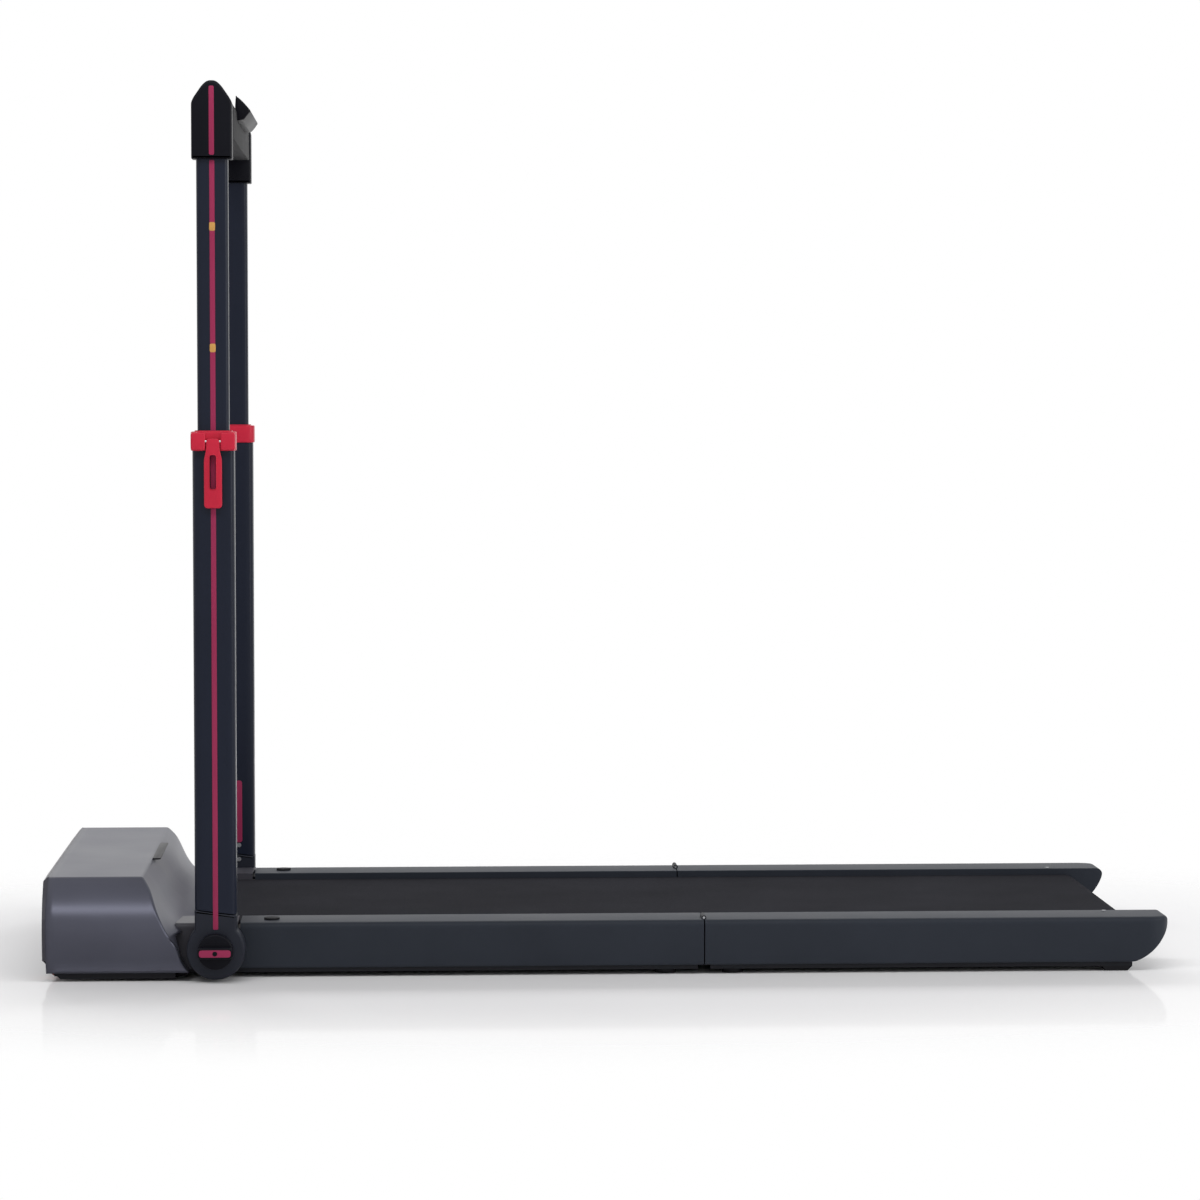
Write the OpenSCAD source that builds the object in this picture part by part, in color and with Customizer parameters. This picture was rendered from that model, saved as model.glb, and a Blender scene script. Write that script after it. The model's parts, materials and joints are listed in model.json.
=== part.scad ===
// Folding treadmill with a telescopic handle. Millimetres, +Z up.
// +X runs from the motor hood to the step-on end, and the origin is on the floor under the middle.
// Left is -Y and right is +Y, as the walker sees them when facing the hood.
// Paired pieces are drawn on the right and mirrored to the left.

/* [Deck] */
// Length of the whole machine, hood to tail
length = 1450; // [1300:10:1600]
// Width across the two side rails
deck_w = 588; // [500:2:700]
// Width of one side rail
rail_w = 73; // [66:1:84]
// Height of the side rails' top
rail_top = 70; // [66:1:86]
// Height of the rails' lower edge
rail_low = 12; // [10:0.5:15]
// Wall of the rail covers
rail_wall = 3; // [2:0.5:4]
// Radius along the rails' outer top edge
rail_round = 6; // [4:0.5:9]
// How far the belt lies below the rails' top
belt_sink = 8.5; // [6:0.5:12]
// Gap between the belt's edge and the rail
belt_edge_gap = 2; // [1:0.5:5]
// Thickness of the running belt
belt_t = 2; // [1.2:0.1:3]
// Inner radius of the belt's loop
loop_r = 18; // [16:0.5:19]
// Thickness of the running boards
board_t = 15; // [10:0.5:16]
// Length of the tail's rounded nose
nose_len = 49; // [40:1:58]
// Radius of the nose's corner, seen from above
nose_round = 30; // [15:1:40]
// Height of the rubber feet
foot_h = 6; // [5:0.5:8]

/* [Fold] */
// Distance from the front to the fold
fold_back = 847; // [780:1:900]
// Height of the fold axis above the rails' top
fold_rise = 1.5; // [1.2:0.1:3]
// Gap between the two halves at the fold
fold_gap = 1.6; // [1:0.2:3]
// Radius of the fold hinges' knuckles
knuckle_r = 3; // [2.6:0.1:4]
// Radius of the fold pins
fold_pin_r = 1.5; // [1:0.1:2]

/* [Hood] */
// Height of the motor hood
hood_h = 129; // [122:1:150]
// Half width of the hood at its belly
hood_half = 335; // [330:1:345]
// Half width of the hood's flat top
hood_top_half = 283; // [260:1:300]
// Length from the front to the back edge of the flat top
hood_flat = 130; // [120:1:136]
// Wall of the hood
hood_wall = 3; // [2:0.5:4]
// Thickness of the front fascia
fascia_t = 10; // [8:1:12]
// Height of the hood's lower edge
hood_low = 11; // [9:0.5:14]

/* [Handle] */
// Overall height with the handle drawn out
height = 1135; // [1040:5:1260]
// Overall width across the clamp knobs
overall_w = 720; // [718:1:740]
// Distance from the front to the handle's pivot
pivot_back = 224.5; // [218:0.5:232]
// Height of the handle's pivot
pivot_z = 40; // [39:0.5:44]
// Width of the lower tubes, front to back
low_tube_w = 53; // [48:1:60]
// Thickness of the lower tubes, side to side
low_tube_t = 36; // [32:1:38]
// Width of the upper tubes
up_tube_w = 40; // [34:1:44]
// Thickness of the upper tubes
up_tube_t = 26; // [22:0.5:28]
// Wall of all four tubes
tube_wall = 2; // [1.6:0.1:2.5]
// Height of the clamp collars' top
collar_top = 696; // [600:2:760]
// Height of one clamp collar
collar_h = 24; // [20:1:30]
// Length of a clamp lever below its pin
lever_len = 84; // [70:1:110]
// Length of the elbow caps, bottom to apex
cap_h = 98; // [80:1:110]
// Travel of the telescopic handle
travel = 335; // [280:1:335]
// Width of the red strips
strip_w = 6.5; // [5:0.5:9]
// Radius of the pivot studs
stud_r = 6; // [5:0.5:8]
// Radius of the post feet's round eyes
eye_r = 37; // [34:0.5:38]
// Radius of the clamp knobs
knob_r = 22.5; // [18:0.5:26]
// Half width of the phone holder
holder_half = 137; // [100:1:200]

/* [Drive] */
// Radius of the roller's pulley
big_pulley_r = 24; // [20:0.5:24]
// Radius of the motor's pulley
small_pulley_r = 10; // [8:0.5:12]
// Radius of the motor
motor_r = 38; // [32:1:42]
// Radius of the rollers' fixed axles
axle_r = 8; // [6:0.5:9]
// Radius of the transport wheels
wheel_r = 19; // [17:0.5:19]

/* [Hidden] */
$fn = 64;

// Clearances: a running fit, a gap between moving pieces, and a small overrun for clean cuts
run_fit = 0.05;
gap = 0.4;
over = 1;
far = 2000;

// Deck levels and stations
front_x = -length / 2;
tail_x = length / 2;
deck_half = deck_w / 2;
inner_half = deck_half - rail_w;
belt_half = inner_half - belt_edge_gap;
fold_x = front_x + fold_back;
fold_z = rail_top + fold_rise;
belt_top = rail_top - belt_sink;
board_top = belt_top - belt_t;
board_low = board_top - board_t;
roller_z = board_top - loop_r;
roller_r = loop_r - gap;
drive_x = front_x + 180;
rear_x = tail_x - 55;
board_end_gap = loop_r + 8;
board_half = inner_half + 19;

// Frame beams inside the rails
beam_in = inner_half + 29;
beam_w = 36;
beam_out = beam_in + beam_w;
beam_mid = beam_in + beam_w / 2;
beam_low = foot_h;
beam_high = board_top + 2.5;
beam_wall = 2.5;
beam_front = front_x + 49;
beam_rear = tail_x - nose_len;
beam_fold_gap = 8;
cross_w = 40;
cross_low = roller_z - loop_r + 3;
cross_wall = 2;

// Handle stations
pivot_x = front_x + pivot_back;
post_gap = 3;
post_in = deck_half + post_gap;
post_out = post_in + low_tube_t;
post_mid = post_in + low_tube_t / 2;
tube_round = 7;
seam_front = 93;
seam_rear = 86;
plug_top = 106;
plug_fit = 0.2;
collar_low = collar_top - collar_h;
collar_w = low_tube_w + 4;
collar_skin = 2;
lobe_out = 8;
lever_pin_r = 1.5;
lever_hub_r = 3.5;
lever_t = 5.5;
lever_top_w = 17;
lever_low_w = 22.5;
lever_slot_w = 8;
lever_slot_top = 17;
lever_slot_len = 43;
lever_pin_y = post_out + collar_skin + lever_hub_r + gap;
lever_pin_z = collar_top - 12;
up_low = plug_top + 4 + travel;
up_high = height - 70;
cap_low = height - cap_h;
cap_half = 25.5;
cap_in = post_in;
cap_out = post_out + 1;
shoulder_z = height - 22;
strip_t = 0.6;
strip_low = 66;
pill_w = 9;
pill_low = 105;
pill_high = 193;
pill_x = pivot_x + 4.5;
screw_levels = [81, 101];
screw_r = 3;
screw_h = 1.2;
bar_drop = 66;
grip_half = 262;
mark_w = 6.5;
mark_h = 11;
mark_levels = [height - 182, height - 334];

// Hood outline
hood_back = front_x + hood_flat;
fascia_x = front_x + fascia_t;
belly_z = 62;
low_half = hood_half - 13;
hood_steps = 10;
lip_x = drive_x + 15;
lip_z = belt_top + 4.5;
eye_clear = 9;
pan_floor = 3;
pan_wall = 3;
pan_half = low_half - 7;
pan_back = drive_x + 5;
chin_z = 28;
chin_x = front_x + 4;
chin_foot_x = front_x + 27;

// Rail stations
rail_start = pivot_x + 26.5;
cap_start = pivot_x - 52.5;
seam_lean = 3;
seam_steps = 5;
flange_r = 22;
leaf_t = 3;
leaf_len = 38;
leaf_half = 14;
tang_half = 5.7;
notch = knuckle_r + 1.2;
bumper_r = 10;
bumper_h = fold_rise + 0.9;
bumper_x = pivot_x + 68.5;
fold_foot_front = fold_x - 49;
fold_foot_rear = fold_x + 38;
foot_r = 13.5;
tail_foot_x = tail_x - 88;
tail_foot_len = 39;
inner_wall_end = rear_x + 26;

// Drive stations
pulley_y = inner_half + 14;
pulley_w = 18;
vbelt_w = 12;
vbelt_t = 3;
loop_steps = 24;
motor_x = front_x + 77;
motor_z = 62;
motor_shaft_r = 6;
motor_y0 = -20;
motor_y1 = 212;
wheel_x = front_x + 26;
wheel_z = wheel_r + 2;
wheel_y = 280;
wheel_w = 20;
wheel_pin_r = 4;
fork_gap = 4;
fork_t = 3;
unit_x0 = front_x + 40;
unit_x1 = unit_x0 + 90;
unit_y0 = 8 - beam_in;
unit_y1 = unit_y0 + 160;
unit_wall = 3;
unit_top = beam_low + 46;
inlet_y = 200;
inlet_z = 56;
inlet_w = 28;
inlet_h = 20;
inlet_depth = 26;
socket_w = 22;
socket_h = 14;
socket_depth = 17;
rocker_y = inlet_y - 48;
rocker_w = 15;
rocker_h = 20;
rocker_x = fascia_x + 3;
rocker_pin_r = 1.5;
rocker_tip = 8;
window_len = 40;
window_half = 90;

// Draws the children's X and Y outline in the X and Z plane, and runs it along Y
module along_y(y0, y1) { translate([0, y1, 0]) rotate([90, 0, 0]) linear_extrude(y1 - y0) children(); }

// Draws the children's X and Y outline in the Y and Z plane, and runs it along X
module along_x(x0, x1) { translate([x0, 0, 0]) rotate([90, 0, 90]) linear_extrude(x1 - x0) children(); }

module both_sides() {
    children();
    mirror([0, 1, 0]) children();
}

// A box from its lowest to its highest corner
module span(low, high) { translate(low) cube(high - low); }

// A round bar along Y
module bar_y(x, z, r, y0, y1) { translate([x, y1, z]) rotate([90, 0, 0]) cylinder(r = r, h = y1 - y0); }

// A round bar along X
module bar_x(y, z, r, x0, x1) { translate([x0, y, z]) rotate([0, 90, 0]) cylinder(r = r, h = x1 - x0); }

// A rectangle with round corners, centred
module rounded(w, t, r) {
    square([w - 2 * r, t], center = true);
    square([w, t - 2 * r], center = true);
    for (sx = [-1, 1], sy = [-1, 1]) translate([sx * (w / 2 - r), sy * (t / 2 - r)]) circle(r);
}

// Points of an arc round a centre
function arc(cx, cy, r, a0, a1, steps) =
    [for (i = [0:steps]) let (a = a0 + (a1 - a0) * i / steps) [cx + r * cos(a), cy + r * sin(a)]];

// The outline of a belt round two pulleys: an arc on each, joined by the straight runs
module two_circle_loop(ax, az, ra, bx, bz, rb) {
    lean = atan2(bz - az, bx - ax);
    side = acos((ra - rb) / norm([bx - ax, bz - az]));
    polygon(concat(arc(ax, az, ra, lean + side, lean + 360 - side, loop_steps),
        arc(bx, bz, rb, lean - side, lean + side, loop_steps)));
}

// Half width of the hood at a height: full at the belly, drawn in above and a little below
function hood_side(z) = z > belly_z
    ? hood_half - (hood_half - hood_top_half) * pow((z - belly_z) / (hood_h - belly_z), 2.2)
    : hood_half - (hood_half - low_half) * pow((belly_z - z) / (belly_z - hood_low), 2);

// The hood's section across the machine, drawn in by an inset
module hood_section(inset, low) {
    zs = [for (i = [0:hood_steps]) low + (hood_h - inset - low) * i / hood_steps];
    right = [for (z = zs) [hood_side(z) - inset, z]];
    left = [for (i = [hood_steps:-1:0]) [inset - hood_side(zs[i]), zs[i]]];
    polygon(concat(right, left));
}

// Side outline of the hood over the deck: a flat top and a hollow slope to the lip over the belt
module hood_middle(inset) {
    polygon([[fascia_x, hood_low - over], [fascia_x, hood_h - inset], [hood_back - inset, hood_h - inset],
        [hood_back + 12 - inset, hood_h - 20 - inset], [hood_back + 26 - inset, hood_h - 39 - inset],
        [hood_back + 40 - inset, hood_h - 53 - inset], [lip_x, lip_z - inset], [lip_x, hood_low - over]]);
}

// Side outline of the hood's cheeks, which stop short of the post feet
module hood_cheek(inset) {
    difference() {
        polygon([[fascia_x, hood_low], [fascia_x, hood_h], [hood_back - inset, hood_h],
            [hood_back + 10 - inset, hood_h - 16], [hood_back + 20 - inset, hood_h - 42],
            [hood_back + 32 - inset, hood_h - 66], [hood_back + 46 - inset, hood_h - 85],
            [hood_back + 64 - inset, hood_low]]);
        translate([pivot_x, pivot_z]) circle(eye_r + eye_clear + inset);
    }
}

module base_pan() {
    color("#16171b") difference() {
        union() {
            difference() {
                along_y(-pan_half, pan_half) polygon([[chin_x, chin_z - gap], [chin_foot_x, pan_floor],
                    [pan_back, pan_floor], [pan_back, chin_z - gap]]);
                along_y(pan_wall - pan_half, pan_half - pan_wall) polygon([
                    [chin_x + 2 * pan_wall, chin_z], [chin_foot_x + pan_wall, beam_low],
                    [pan_back + over, beam_low], [pan_back + over, chin_z]]);
                both_sides() span([pivot_x - eye_r - eye_clear - 6, deck_half - pan_wall, -over],
                    [pan_back + over, pan_half + over, chin_z]);
            }
            both_sides() for (side = [-1, 1]) {
                y = wheel_y + side * (wheel_w / 2 + fork_gap + fork_t / 2);
                span([wheel_x - 8, y - fork_t / 2, pan_floor + 1], [wheel_x + 12, y + fork_t / 2, wheel_z + 9]);
            }
        }
        both_sides() {
            wheel_half = wheel_w / 2 + fork_gap - 1;
            bar_y(wheel_x, wheel_z, wheel_r + 3, wheel_y - wheel_half, wheel_y + wheel_half);
            bar_y(wheel_x, wheel_z, wheel_pin_r + run_fit, wheel_y - wheel_w, wheel_y + wheel_w);
        }
    }
}

module hood_shell() {
    color("#6d7079") difference() {
        intersection() {
            along_x(fascia_x, far) hood_section(0, hood_low);
            union() {
                along_y(-post_in + over, post_in - over) hood_middle(0);
                both_sides() along_y(post_in - over, hood_half + over) hood_cheek(0);
            }
        }
        intersection() {
            along_x(fascia_x - over, far) hood_section(hood_wall, hood_low - over);
            union() {
                along_y(-deck_half, deck_half) hood_middle(hood_wall);
                both_sides() along_y(deck_half - over, hood_half) translate([-hood_wall, 0]) hood_cheek(0);
            }
        }
        span([cap_start - 3, -post_in - over, -over], [far, post_in + over, rail_top + gap]);
        span([hood_back - over, -post_in - over, -over], [cap_start, post_in + over, pivot_z - over]);
        // The slope runs on as a lip between the rails, just above the belt
        display_cut();
    }
    color("#6d7079") difference() {
        along_y(-inner_half + gap, inner_half - gap) hood_middle(0);
        along_y(-inner_half, inner_half) hood_middle(hood_wall);
        span([front_x, -deck_half, -over], [cap_start - 3, deck_half, hood_h + over]);
        span([front_x, -deck_half, -over], [far, deck_half, belt_top + gap]);
    }
}

// The flat pocket in the slope where the display window sits
module display_cut() {
    x0 = hood_back + 2;
    along_y(-window_half, window_half) polygon([[x0, hood_h - 2], [x0 + 12, hood_h - 19],
        [x0 + 8, hood_h - 22], [x0 - 4, hood_h - 6.4]]);
}

module display_window() {
    color("#0b0b0d") along_y(gap - window_half, window_half - gap) polygon([[hood_back + 2.4, hood_h - 4.4],
        [hood_back + 11.2, hood_h - 19.2], [hood_back + 9.4, hood_h - 20.4], [hood_back + 0.4, hood_h - 6]]);
}

module display_board() {
    color("#1c4a2c") along_y(-window_half, window_half) polygon([[hood_back - 5, hood_h - 7],
        [hood_back + 6, hood_h - 25], [hood_back + 4.6, hood_h - 26], [hood_back - 6.4, hood_h - 8]]);
    color("#1c4a2c") both_sides() along_y(window_half - 8, window_half) polygon([[hood_back - 6.4, hood_h - 8],
        [hood_back - 6.4, hood_h - hood_wall], [hood_back - 9, hood_h - hood_wall], [hood_back - 9, hood_h - 8]]);
}

module front_fascia() {
    color("#4d4c54") difference() {
        intersection() {
            along_x(front_x, fascia_x) hood_section(0, hood_low);
            along_y(-hood_half, hood_half) polygon([[fascia_x, chin_z], [chin_x, chin_z], [front_x, chin_z + 6],
                [front_x, hood_h - 12], [front_x + 2, hood_h - 7], [fascia_x - 1, hood_h], [fascia_x, hood_h]]);
            linear_extrude(hood_h) polygon(concat([[fascia_x, hood_half], [fascia_x, -hood_half]],
                [for (i = [-8:8]) [front_x + 6 * pow(i / 8, 2), hood_half * i / 8]]));
        }
        span([front_x - over, inlet_y - inlet_w / 2, inlet_z - inlet_h / 2],
            [fascia_x + over, inlet_y + inlet_w / 2, inlet_z + inlet_h / 2]);
        span([front_x - over, rocker_y - rocker_w / 2, inlet_z - rocker_h / 2],
            [fascia_x + over, rocker_y + rocker_w / 2, inlet_z + rocker_h / 2]);
        both_sides() bar_y(wheel_x, wheel_z, wheel_r + 3, wheel_y - wheel_w / 2 - fork_gap + 1,
            wheel_y + wheel_w / 2 + fork_gap - 1);
    }
}

module motor_housing() {
    color("#2a2c30") difference() {
        union() {
            bar_y(motor_x, motor_z, motor_r, motor_y0, motor_y1);
            for (i = [0:6]) bar_y(motor_x, motor_z, motor_r + 2, motor_y0 + 20 + i * 12, motor_y0 + 25 + i * 12);
        }
        bar_y(motor_x, motor_z, motor_shaft_r + 2, motor_y1 - 12, motor_y1 + over);
        bar_y(motor_x, motor_z, motor_r - 8, motor_y0 + 10, motor_y1 - 12);
    }
}

module motor_bracket() {
    color("#3a3c42") difference() {
        for (y = [motor_y0 + 3, motor_y1 - 9]) span([motor_x - 30, y, beam_low], [motor_x + 30, y + 6, motor_z]);
        bar_y(motor_x, motor_z, motor_r + plug_fit, motor_y0 - over, motor_y1 + over);
    }
}

module motor_rotor() {
    color("#9a9da3") bar_y(motor_x, motor_z, motor_shaft_r, motor_y0 + 14, pulley_y + pulley_w / 2);
    color("#9a9da3") bar_y(motor_x, motor_z, motor_r - 12, motor_y0 + 20, motor_y1 - 20);
    color("#9a9da3") difference() {
        bar_y(motor_x, motor_z, small_pulley_r + 2, pulley_y - pulley_w / 2, pulley_y + pulley_w / 2);
        difference() {
            bar_y(motor_x, motor_z, small_pulley_r + 3, pulley_y - vbelt_w / 2 - gap, pulley_y + vbelt_w / 2 + gap);
            bar_y(motor_x, motor_z, small_pulley_r, pulley_y - pulley_w, pulley_y + pulley_w);
        }
    }
}

module drive_belt() {
    color("#0d0d0f") along_y(pulley_y - vbelt_w / 2, pulley_y + vbelt_w / 2) difference() {
        two_circle_loop(motor_x, motor_z, small_pulley_r + gap + vbelt_t,
            drive_x, roller_z, big_pulley_r - vbelt_t + gap + vbelt_t);
        two_circle_loop(motor_x, motor_z, small_pulley_r + gap,
            drive_x, roller_z, big_pulley_r - vbelt_t + gap);
    }
}

module control_unit() {
    color("#34363c") difference() {
        span([unit_x0, unit_y0, beam_low], [unit_x1, unit_y1, unit_top]);
        span([unit_x0 + unit_wall, unit_y0 + unit_wall, beam_low + unit_wall],
            [unit_x1 - unit_wall, unit_y1 - unit_wall, unit_top - unit_wall]);
    }
    color("#34363c") for (y = [unit_y0 + 4:12:unit_y1 - 6]) span([unit_x0 + 6, y, unit_top],
        [unit_x1 - 6, y + unit_wall, unit_top + 12]);
}

module power_inlet() {
    color("#101012") difference() {
        union() {
            span([front_x + 3, inlet_y - inlet_w / 2 + plug_fit, inlet_z - inlet_h / 2 + plug_fit],
                [front_x + 3 + inlet_depth, inlet_y + inlet_w / 2 - plug_fit, inlet_z + inlet_h / 2 - plug_fit]);
            span([fascia_x, inlet_y - inlet_w / 2 - 5, inlet_z - inlet_h / 2 - 3],
                [fascia_x + 2, inlet_y + inlet_w / 2 + 5, inlet_z + inlet_h / 2 + 3]);
        }
        span([front_x, inlet_y - socket_w / 2, inlet_z - socket_h / 2],
            [front_x + 3 + socket_depth, inlet_y + socket_w / 2, inlet_z + socket_h / 2]);
        span([front_x, rocker_y - rocker_w, inlet_z - rocker_h], [fascia_x + 4, inlet_y - inlet_w / 2 - 5 - gap,
            inlet_z + rocker_h]);
    }
    color("#101012") for (i = [-1:1]) span([front_x + 8, inlet_y - 1 + i * 6.5, inlet_z - 2 - (i == 0 ? 1 : 0)],
        [front_x + 4 + socket_depth, inlet_y + 1 + i * 6.5, inlet_z + 2 - (i == 0 ? 1 : 0)]);
    // The rocker's own housing, with a pin across it
    color("#101012") difference() {
        span([fascia_x, rocker_y - rocker_w / 2 - 3, inlet_z - rocker_h / 2 - 3],
            [fascia_x + 16, rocker_y + rocker_w / 2 + 3, inlet_z + rocker_h / 2 + 3]);
        span([fascia_x - over, rocker_y - rocker_w / 2, inlet_z - rocker_h / 2],
            [fascia_x + 13, rocker_y + rocker_w / 2, inlet_z + rocker_h / 2]);
    }
    color("#101012") bar_y(rocker_x, inlet_z, rocker_pin_r, rocker_y - rocker_w / 2, rocker_y + rocker_w / 2);
}

module power_rocker() {
    // A shallow V in front of its pin, stored tipped to one side
    color("#8c1f2c") translate([rocker_x, 0, inlet_z]) rotate([0, rocker_tip, 0]) difference() {
        along_y(rocker_y - rocker_w / 2 + gap, rocker_y + rocker_w / 2 - gap) polygon([[-7.5, 8.4], [-5.6, 0],
            [-7.5, -8.4], [-2, -8.4], [3, -4], [3, 4], [-2, 8.4]]);
        bar_y(0, 0, rocker_pin_r + run_fit, rocker_y - rocker_w, rocker_y + rocker_w);
    }
}

// One side beam, hollow, from x0 to x1
module beam(x0, x1) {
    difference() {
        span([x0, beam_in, beam_low], [x1, beam_out, beam_high]);
        span([x0 - over, beam_in + beam_wall, beam_low + beam_wall],
            [x1 + over, beam_out - beam_wall, beam_high - beam_wall]);
    }
}

// One cross member, hollow, centred on x
module cross(x) {
    difference() {
        span([x - cross_w / 2, -beam_in, cross_low], [x + cross_w / 2, beam_in, board_low]);
        span([x - cross_w / 2 + cross_wall, -beam_in - over, cross_low + cross_wall],
            [x + cross_w / 2 - cross_wall, beam_in + over, board_low - cross_wall]);
    }
}

// A plate on the beam's inner face that carries an axle's end
module axle_plate(x, r) {
    difference() {
        span([x - 14, beam_in - 5, cross_low], [x + 14, beam_in, board_top - 4]);
        bar_y(x, roller_z, r + run_fit, beam_in - 5 - over, beam_in + over);
    }
}

module front_frame() {
    front_board = drive_x + board_end_gap;
    rear_board = fold_x - fold_gap;
    color("#1d1e22") {
        both_sides() beam(beam_front, fold_x - beam_fold_gap);
        for (i = [0:3]) cross(front_board + cross_w + (rear_board - front_board - 1.6 * cross_w) * i / 3);
        both_sides() axle_plate(drive_x, axle_r);
    }
}

module front_running_board() {
    color("#3b3026") span([drive_x + board_end_gap, -board_half, board_low],
        [fold_x - fold_gap, board_half, board_top]);
}

// The rail's section across the machine: solid outline with a round outer shoulder, drawn in by an inset
module rail_section(inset) {
    r = rail_round - inset;
    polygon(concat([[inner_half + inset, rail_low - (inset > 0 ? over : 0)],
        [inner_half + inset, rail_top - inset]],
        arc(deck_half - rail_round, rail_top - rail_round, r, 90, 0, 6),
        [[deck_half - inset, rail_low - (inset > 0 ? over : 0)]]));
}

// Side outline of the front rail: the fold end leans back towards its foot in a soft curve
module front_rail_side(inset) {
    fold_end = [for (i = [0:seam_steps]) let (t = i / seam_steps)
        [fold_x - fold_gap / 2 - inset - seam_lean * t * t, rail_top + over - (rail_top - rail_low + 2 * over) * t]];
    polygon(concat([[rail_start - (inset > 0 ? over : 0), rail_low - over],
        [rail_start - (inset > 0 ? over : 0), rail_top + over]], fold_end));
}

// Side outline of the rear rail: a round top corner and a long curve under the nose
module rear_rail_side(inset) {
    corner = 8;
    shoulder_z = rail_top - corner;
    nose = [for (i = [0:12]) let (a = 90 * i / 12)
        [tail_x - nose_len + (nose_len - inset) * cos(a), shoulder_z - (shoulder_z - rail_low - inset) * sin(a)]];
    polygon(concat([[fold_x + fold_gap / 2 + inset, rail_low + (inset > 0 ? inset : -over)],
        [fold_x + fold_gap / 2 + inset, rail_top + over]],
        [[tail_x - corner, rail_top + over]], arc(tail_x - corner, shoulder_z, corner - inset, 90, 0, 6),
        nose));
}

// Plan of the rear rail, with its outer corner rounded
module rear_rail_plan(inset) {
    polygon(concat([[fold_x, inner_half + inset], [tail_x - inset, inner_half + inset]],
        arc(tail_x - nose_round, deck_half - nose_round, nose_round - inset, 0, 90, 8),
        [[fold_x, deck_half - inset]]));
}

// Room for the fold hinge in both rails' ends
module hinge_notch() {
    span([fold_x - notch, beam_mid - leaf_half - gap, beam_high - gap],
        [fold_x + notch, beam_mid + leaf_half + gap, rail_top + over]);
}

// The inner wall stops on the running board
module board_slot(x0, x1) {
    span([x0, inner_half - over, -over], [x1, board_half + gap, board_top]);
}

module front_rail() {
    difference() {
        intersection() {
            along_x(rail_start, fold_x) rail_section(0);
            along_y(0, deck_half) front_rail_side(0);
        }
        intersection() {
            along_x(rail_start - over, fold_x) rail_section(rail_wall);
            along_y(0, deck_half) front_rail_side(rail_wall);
        }
        board_slot(rail_start - over, fold_x);
        hinge_notch();
    }
}

module front_rail_right() { color("#34373f") front_rail(); }

module front_rail_left() { color("#34373f") mirror([0, 1, 0]) front_rail(); }

module rear_rail() {
    difference() {
        intersection() {
            along_x(fold_x, tail_x) rail_section(0);
            along_y(0, deck_half) rear_rail_side(0);
            linear_extrude(far) rear_rail_plan(0);
        }
        intersection() {
            along_x(fold_x, tail_x) rail_section(rail_wall);
            along_y(0, deck_half) union() {
                rear_rail_side(rail_wall);
                translate([fold_x + fold_gap / 2 + rail_wall, 0]) square([beam_rear - fold_x, rail_top - rail_wall]);
            }
            linear_extrude(far) rear_rail_plan(rail_wall);
        }
        board_slot(fold_x, inner_wall_end);
        hinge_notch();
    }
}

module rear_rail_right() { color("#34373f") rear_rail(); }

module rear_rail_left() { color("#34373f") mirror([0, 1, 0]) rear_rail(); }

module rail_front_caps() {
    color("#141519") both_sides() difference() {
        along_x(cap_start, rail_start - gap) rail_section(0);
        along_x(cap_start - over, rail_start) rail_section(rail_wall);
        board_slot(cap_start - over, rail_start);
        bar_y(pivot_x, pivot_z, flange_r + gap, beam_out, post_in);
    }
}

module pivot_studs() {
    color("#8d9096") both_sides() {
        bar_y(pivot_x, pivot_z, flange_r, beam_out, post_in - gap);
        bar_y(pivot_x, pivot_z, stud_r, post_in - over, overall_w / 2 - 10);
    }
}

module drive_axle() {
    color("#9a9da3") bar_y(drive_x, roller_z, axle_r, -beam_in, beam_in);
}

// A roller that turns on a fixed axle: a tube with a bored plug in each end
module roller(x, r) {
    difference() {
        bar_y(x, roller_z, roller_r, -belt_half, belt_half);
        bar_y(x, roller_z, roller_r - 3, 20 - belt_half, belt_half - 20);
        bar_y(x, roller_z, r + run_fit, -belt_half - over, belt_half + over);
    }
}

module drive_roller() {
    color("#85888f") roller(drive_x, axle_r);
    color("#85888f") difference() {
        union() {
            bar_y(drive_x, roller_z, axle_r + 5, belt_half - over, pulley_y);
            difference() {
                bar_y(drive_x, roller_z, big_pulley_r, pulley_y - pulley_w / 2, pulley_y + pulley_w / 2);
                difference() {
                    bar_y(drive_x, roller_z, big_pulley_r + over, pulley_y - vbelt_w / 2 - gap,
                        pulley_y + vbelt_w / 2 + gap);
                    bar_y(drive_x, roller_z, big_pulley_r - vbelt_t, pulley_y - pulley_w, pulley_y + pulley_w);
                }
            }
        }
        bar_y(drive_x, roller_z, axle_r + run_fit, belt_half - 2 * over, pulley_y + pulley_w);
    }
}

// The leaf lies on the beam, and its tang rises to the knuckle; the front leaf has two knuckles
module hinge_leaf(side, bands) {
    tang_near = fold_x + side * 0.6;
    tang_far = fold_x + side * knuckle_r;
    difference() {
        union() {
            span([min(tang_near, fold_x + side * leaf_len), beam_mid - leaf_half, beam_high],
                [max(tang_near, fold_x + side * leaf_len), beam_mid + leaf_half, beam_high + leaf_t]);
            for (band = bands) {
                span([min(tang_near, tang_far), band[0], beam_high], [max(tang_near, tang_far), band[1], fold_z]);
                bar_y(fold_x, fold_z, knuckle_r, band[0], band[1]);
            }
        }
        bar_y(fold_x, fold_z, fold_pin_r + run_fit, beam_mid - leaf_half - over, beam_mid + leaf_half + over);
    }
}

module front_hinge_leaves() {
    color("#0f1013") both_sides() hinge_leaf(-1, [[beam_mid - leaf_half, beam_mid - tang_half - gap],
        [beam_mid + tang_half + gap, beam_mid + leaf_half]]);
}

module rear_hinge_leaves() {
    color("#0f1013") both_sides() hinge_leaf(1, [[beam_mid - tang_half, beam_mid + tang_half]]);
}

module fold_pins() {
    color("#8d9096") both_sides() bar_y(fold_x, fold_z, fold_pin_r, beam_mid - leaf_half, beam_mid + leaf_half);
}

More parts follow.
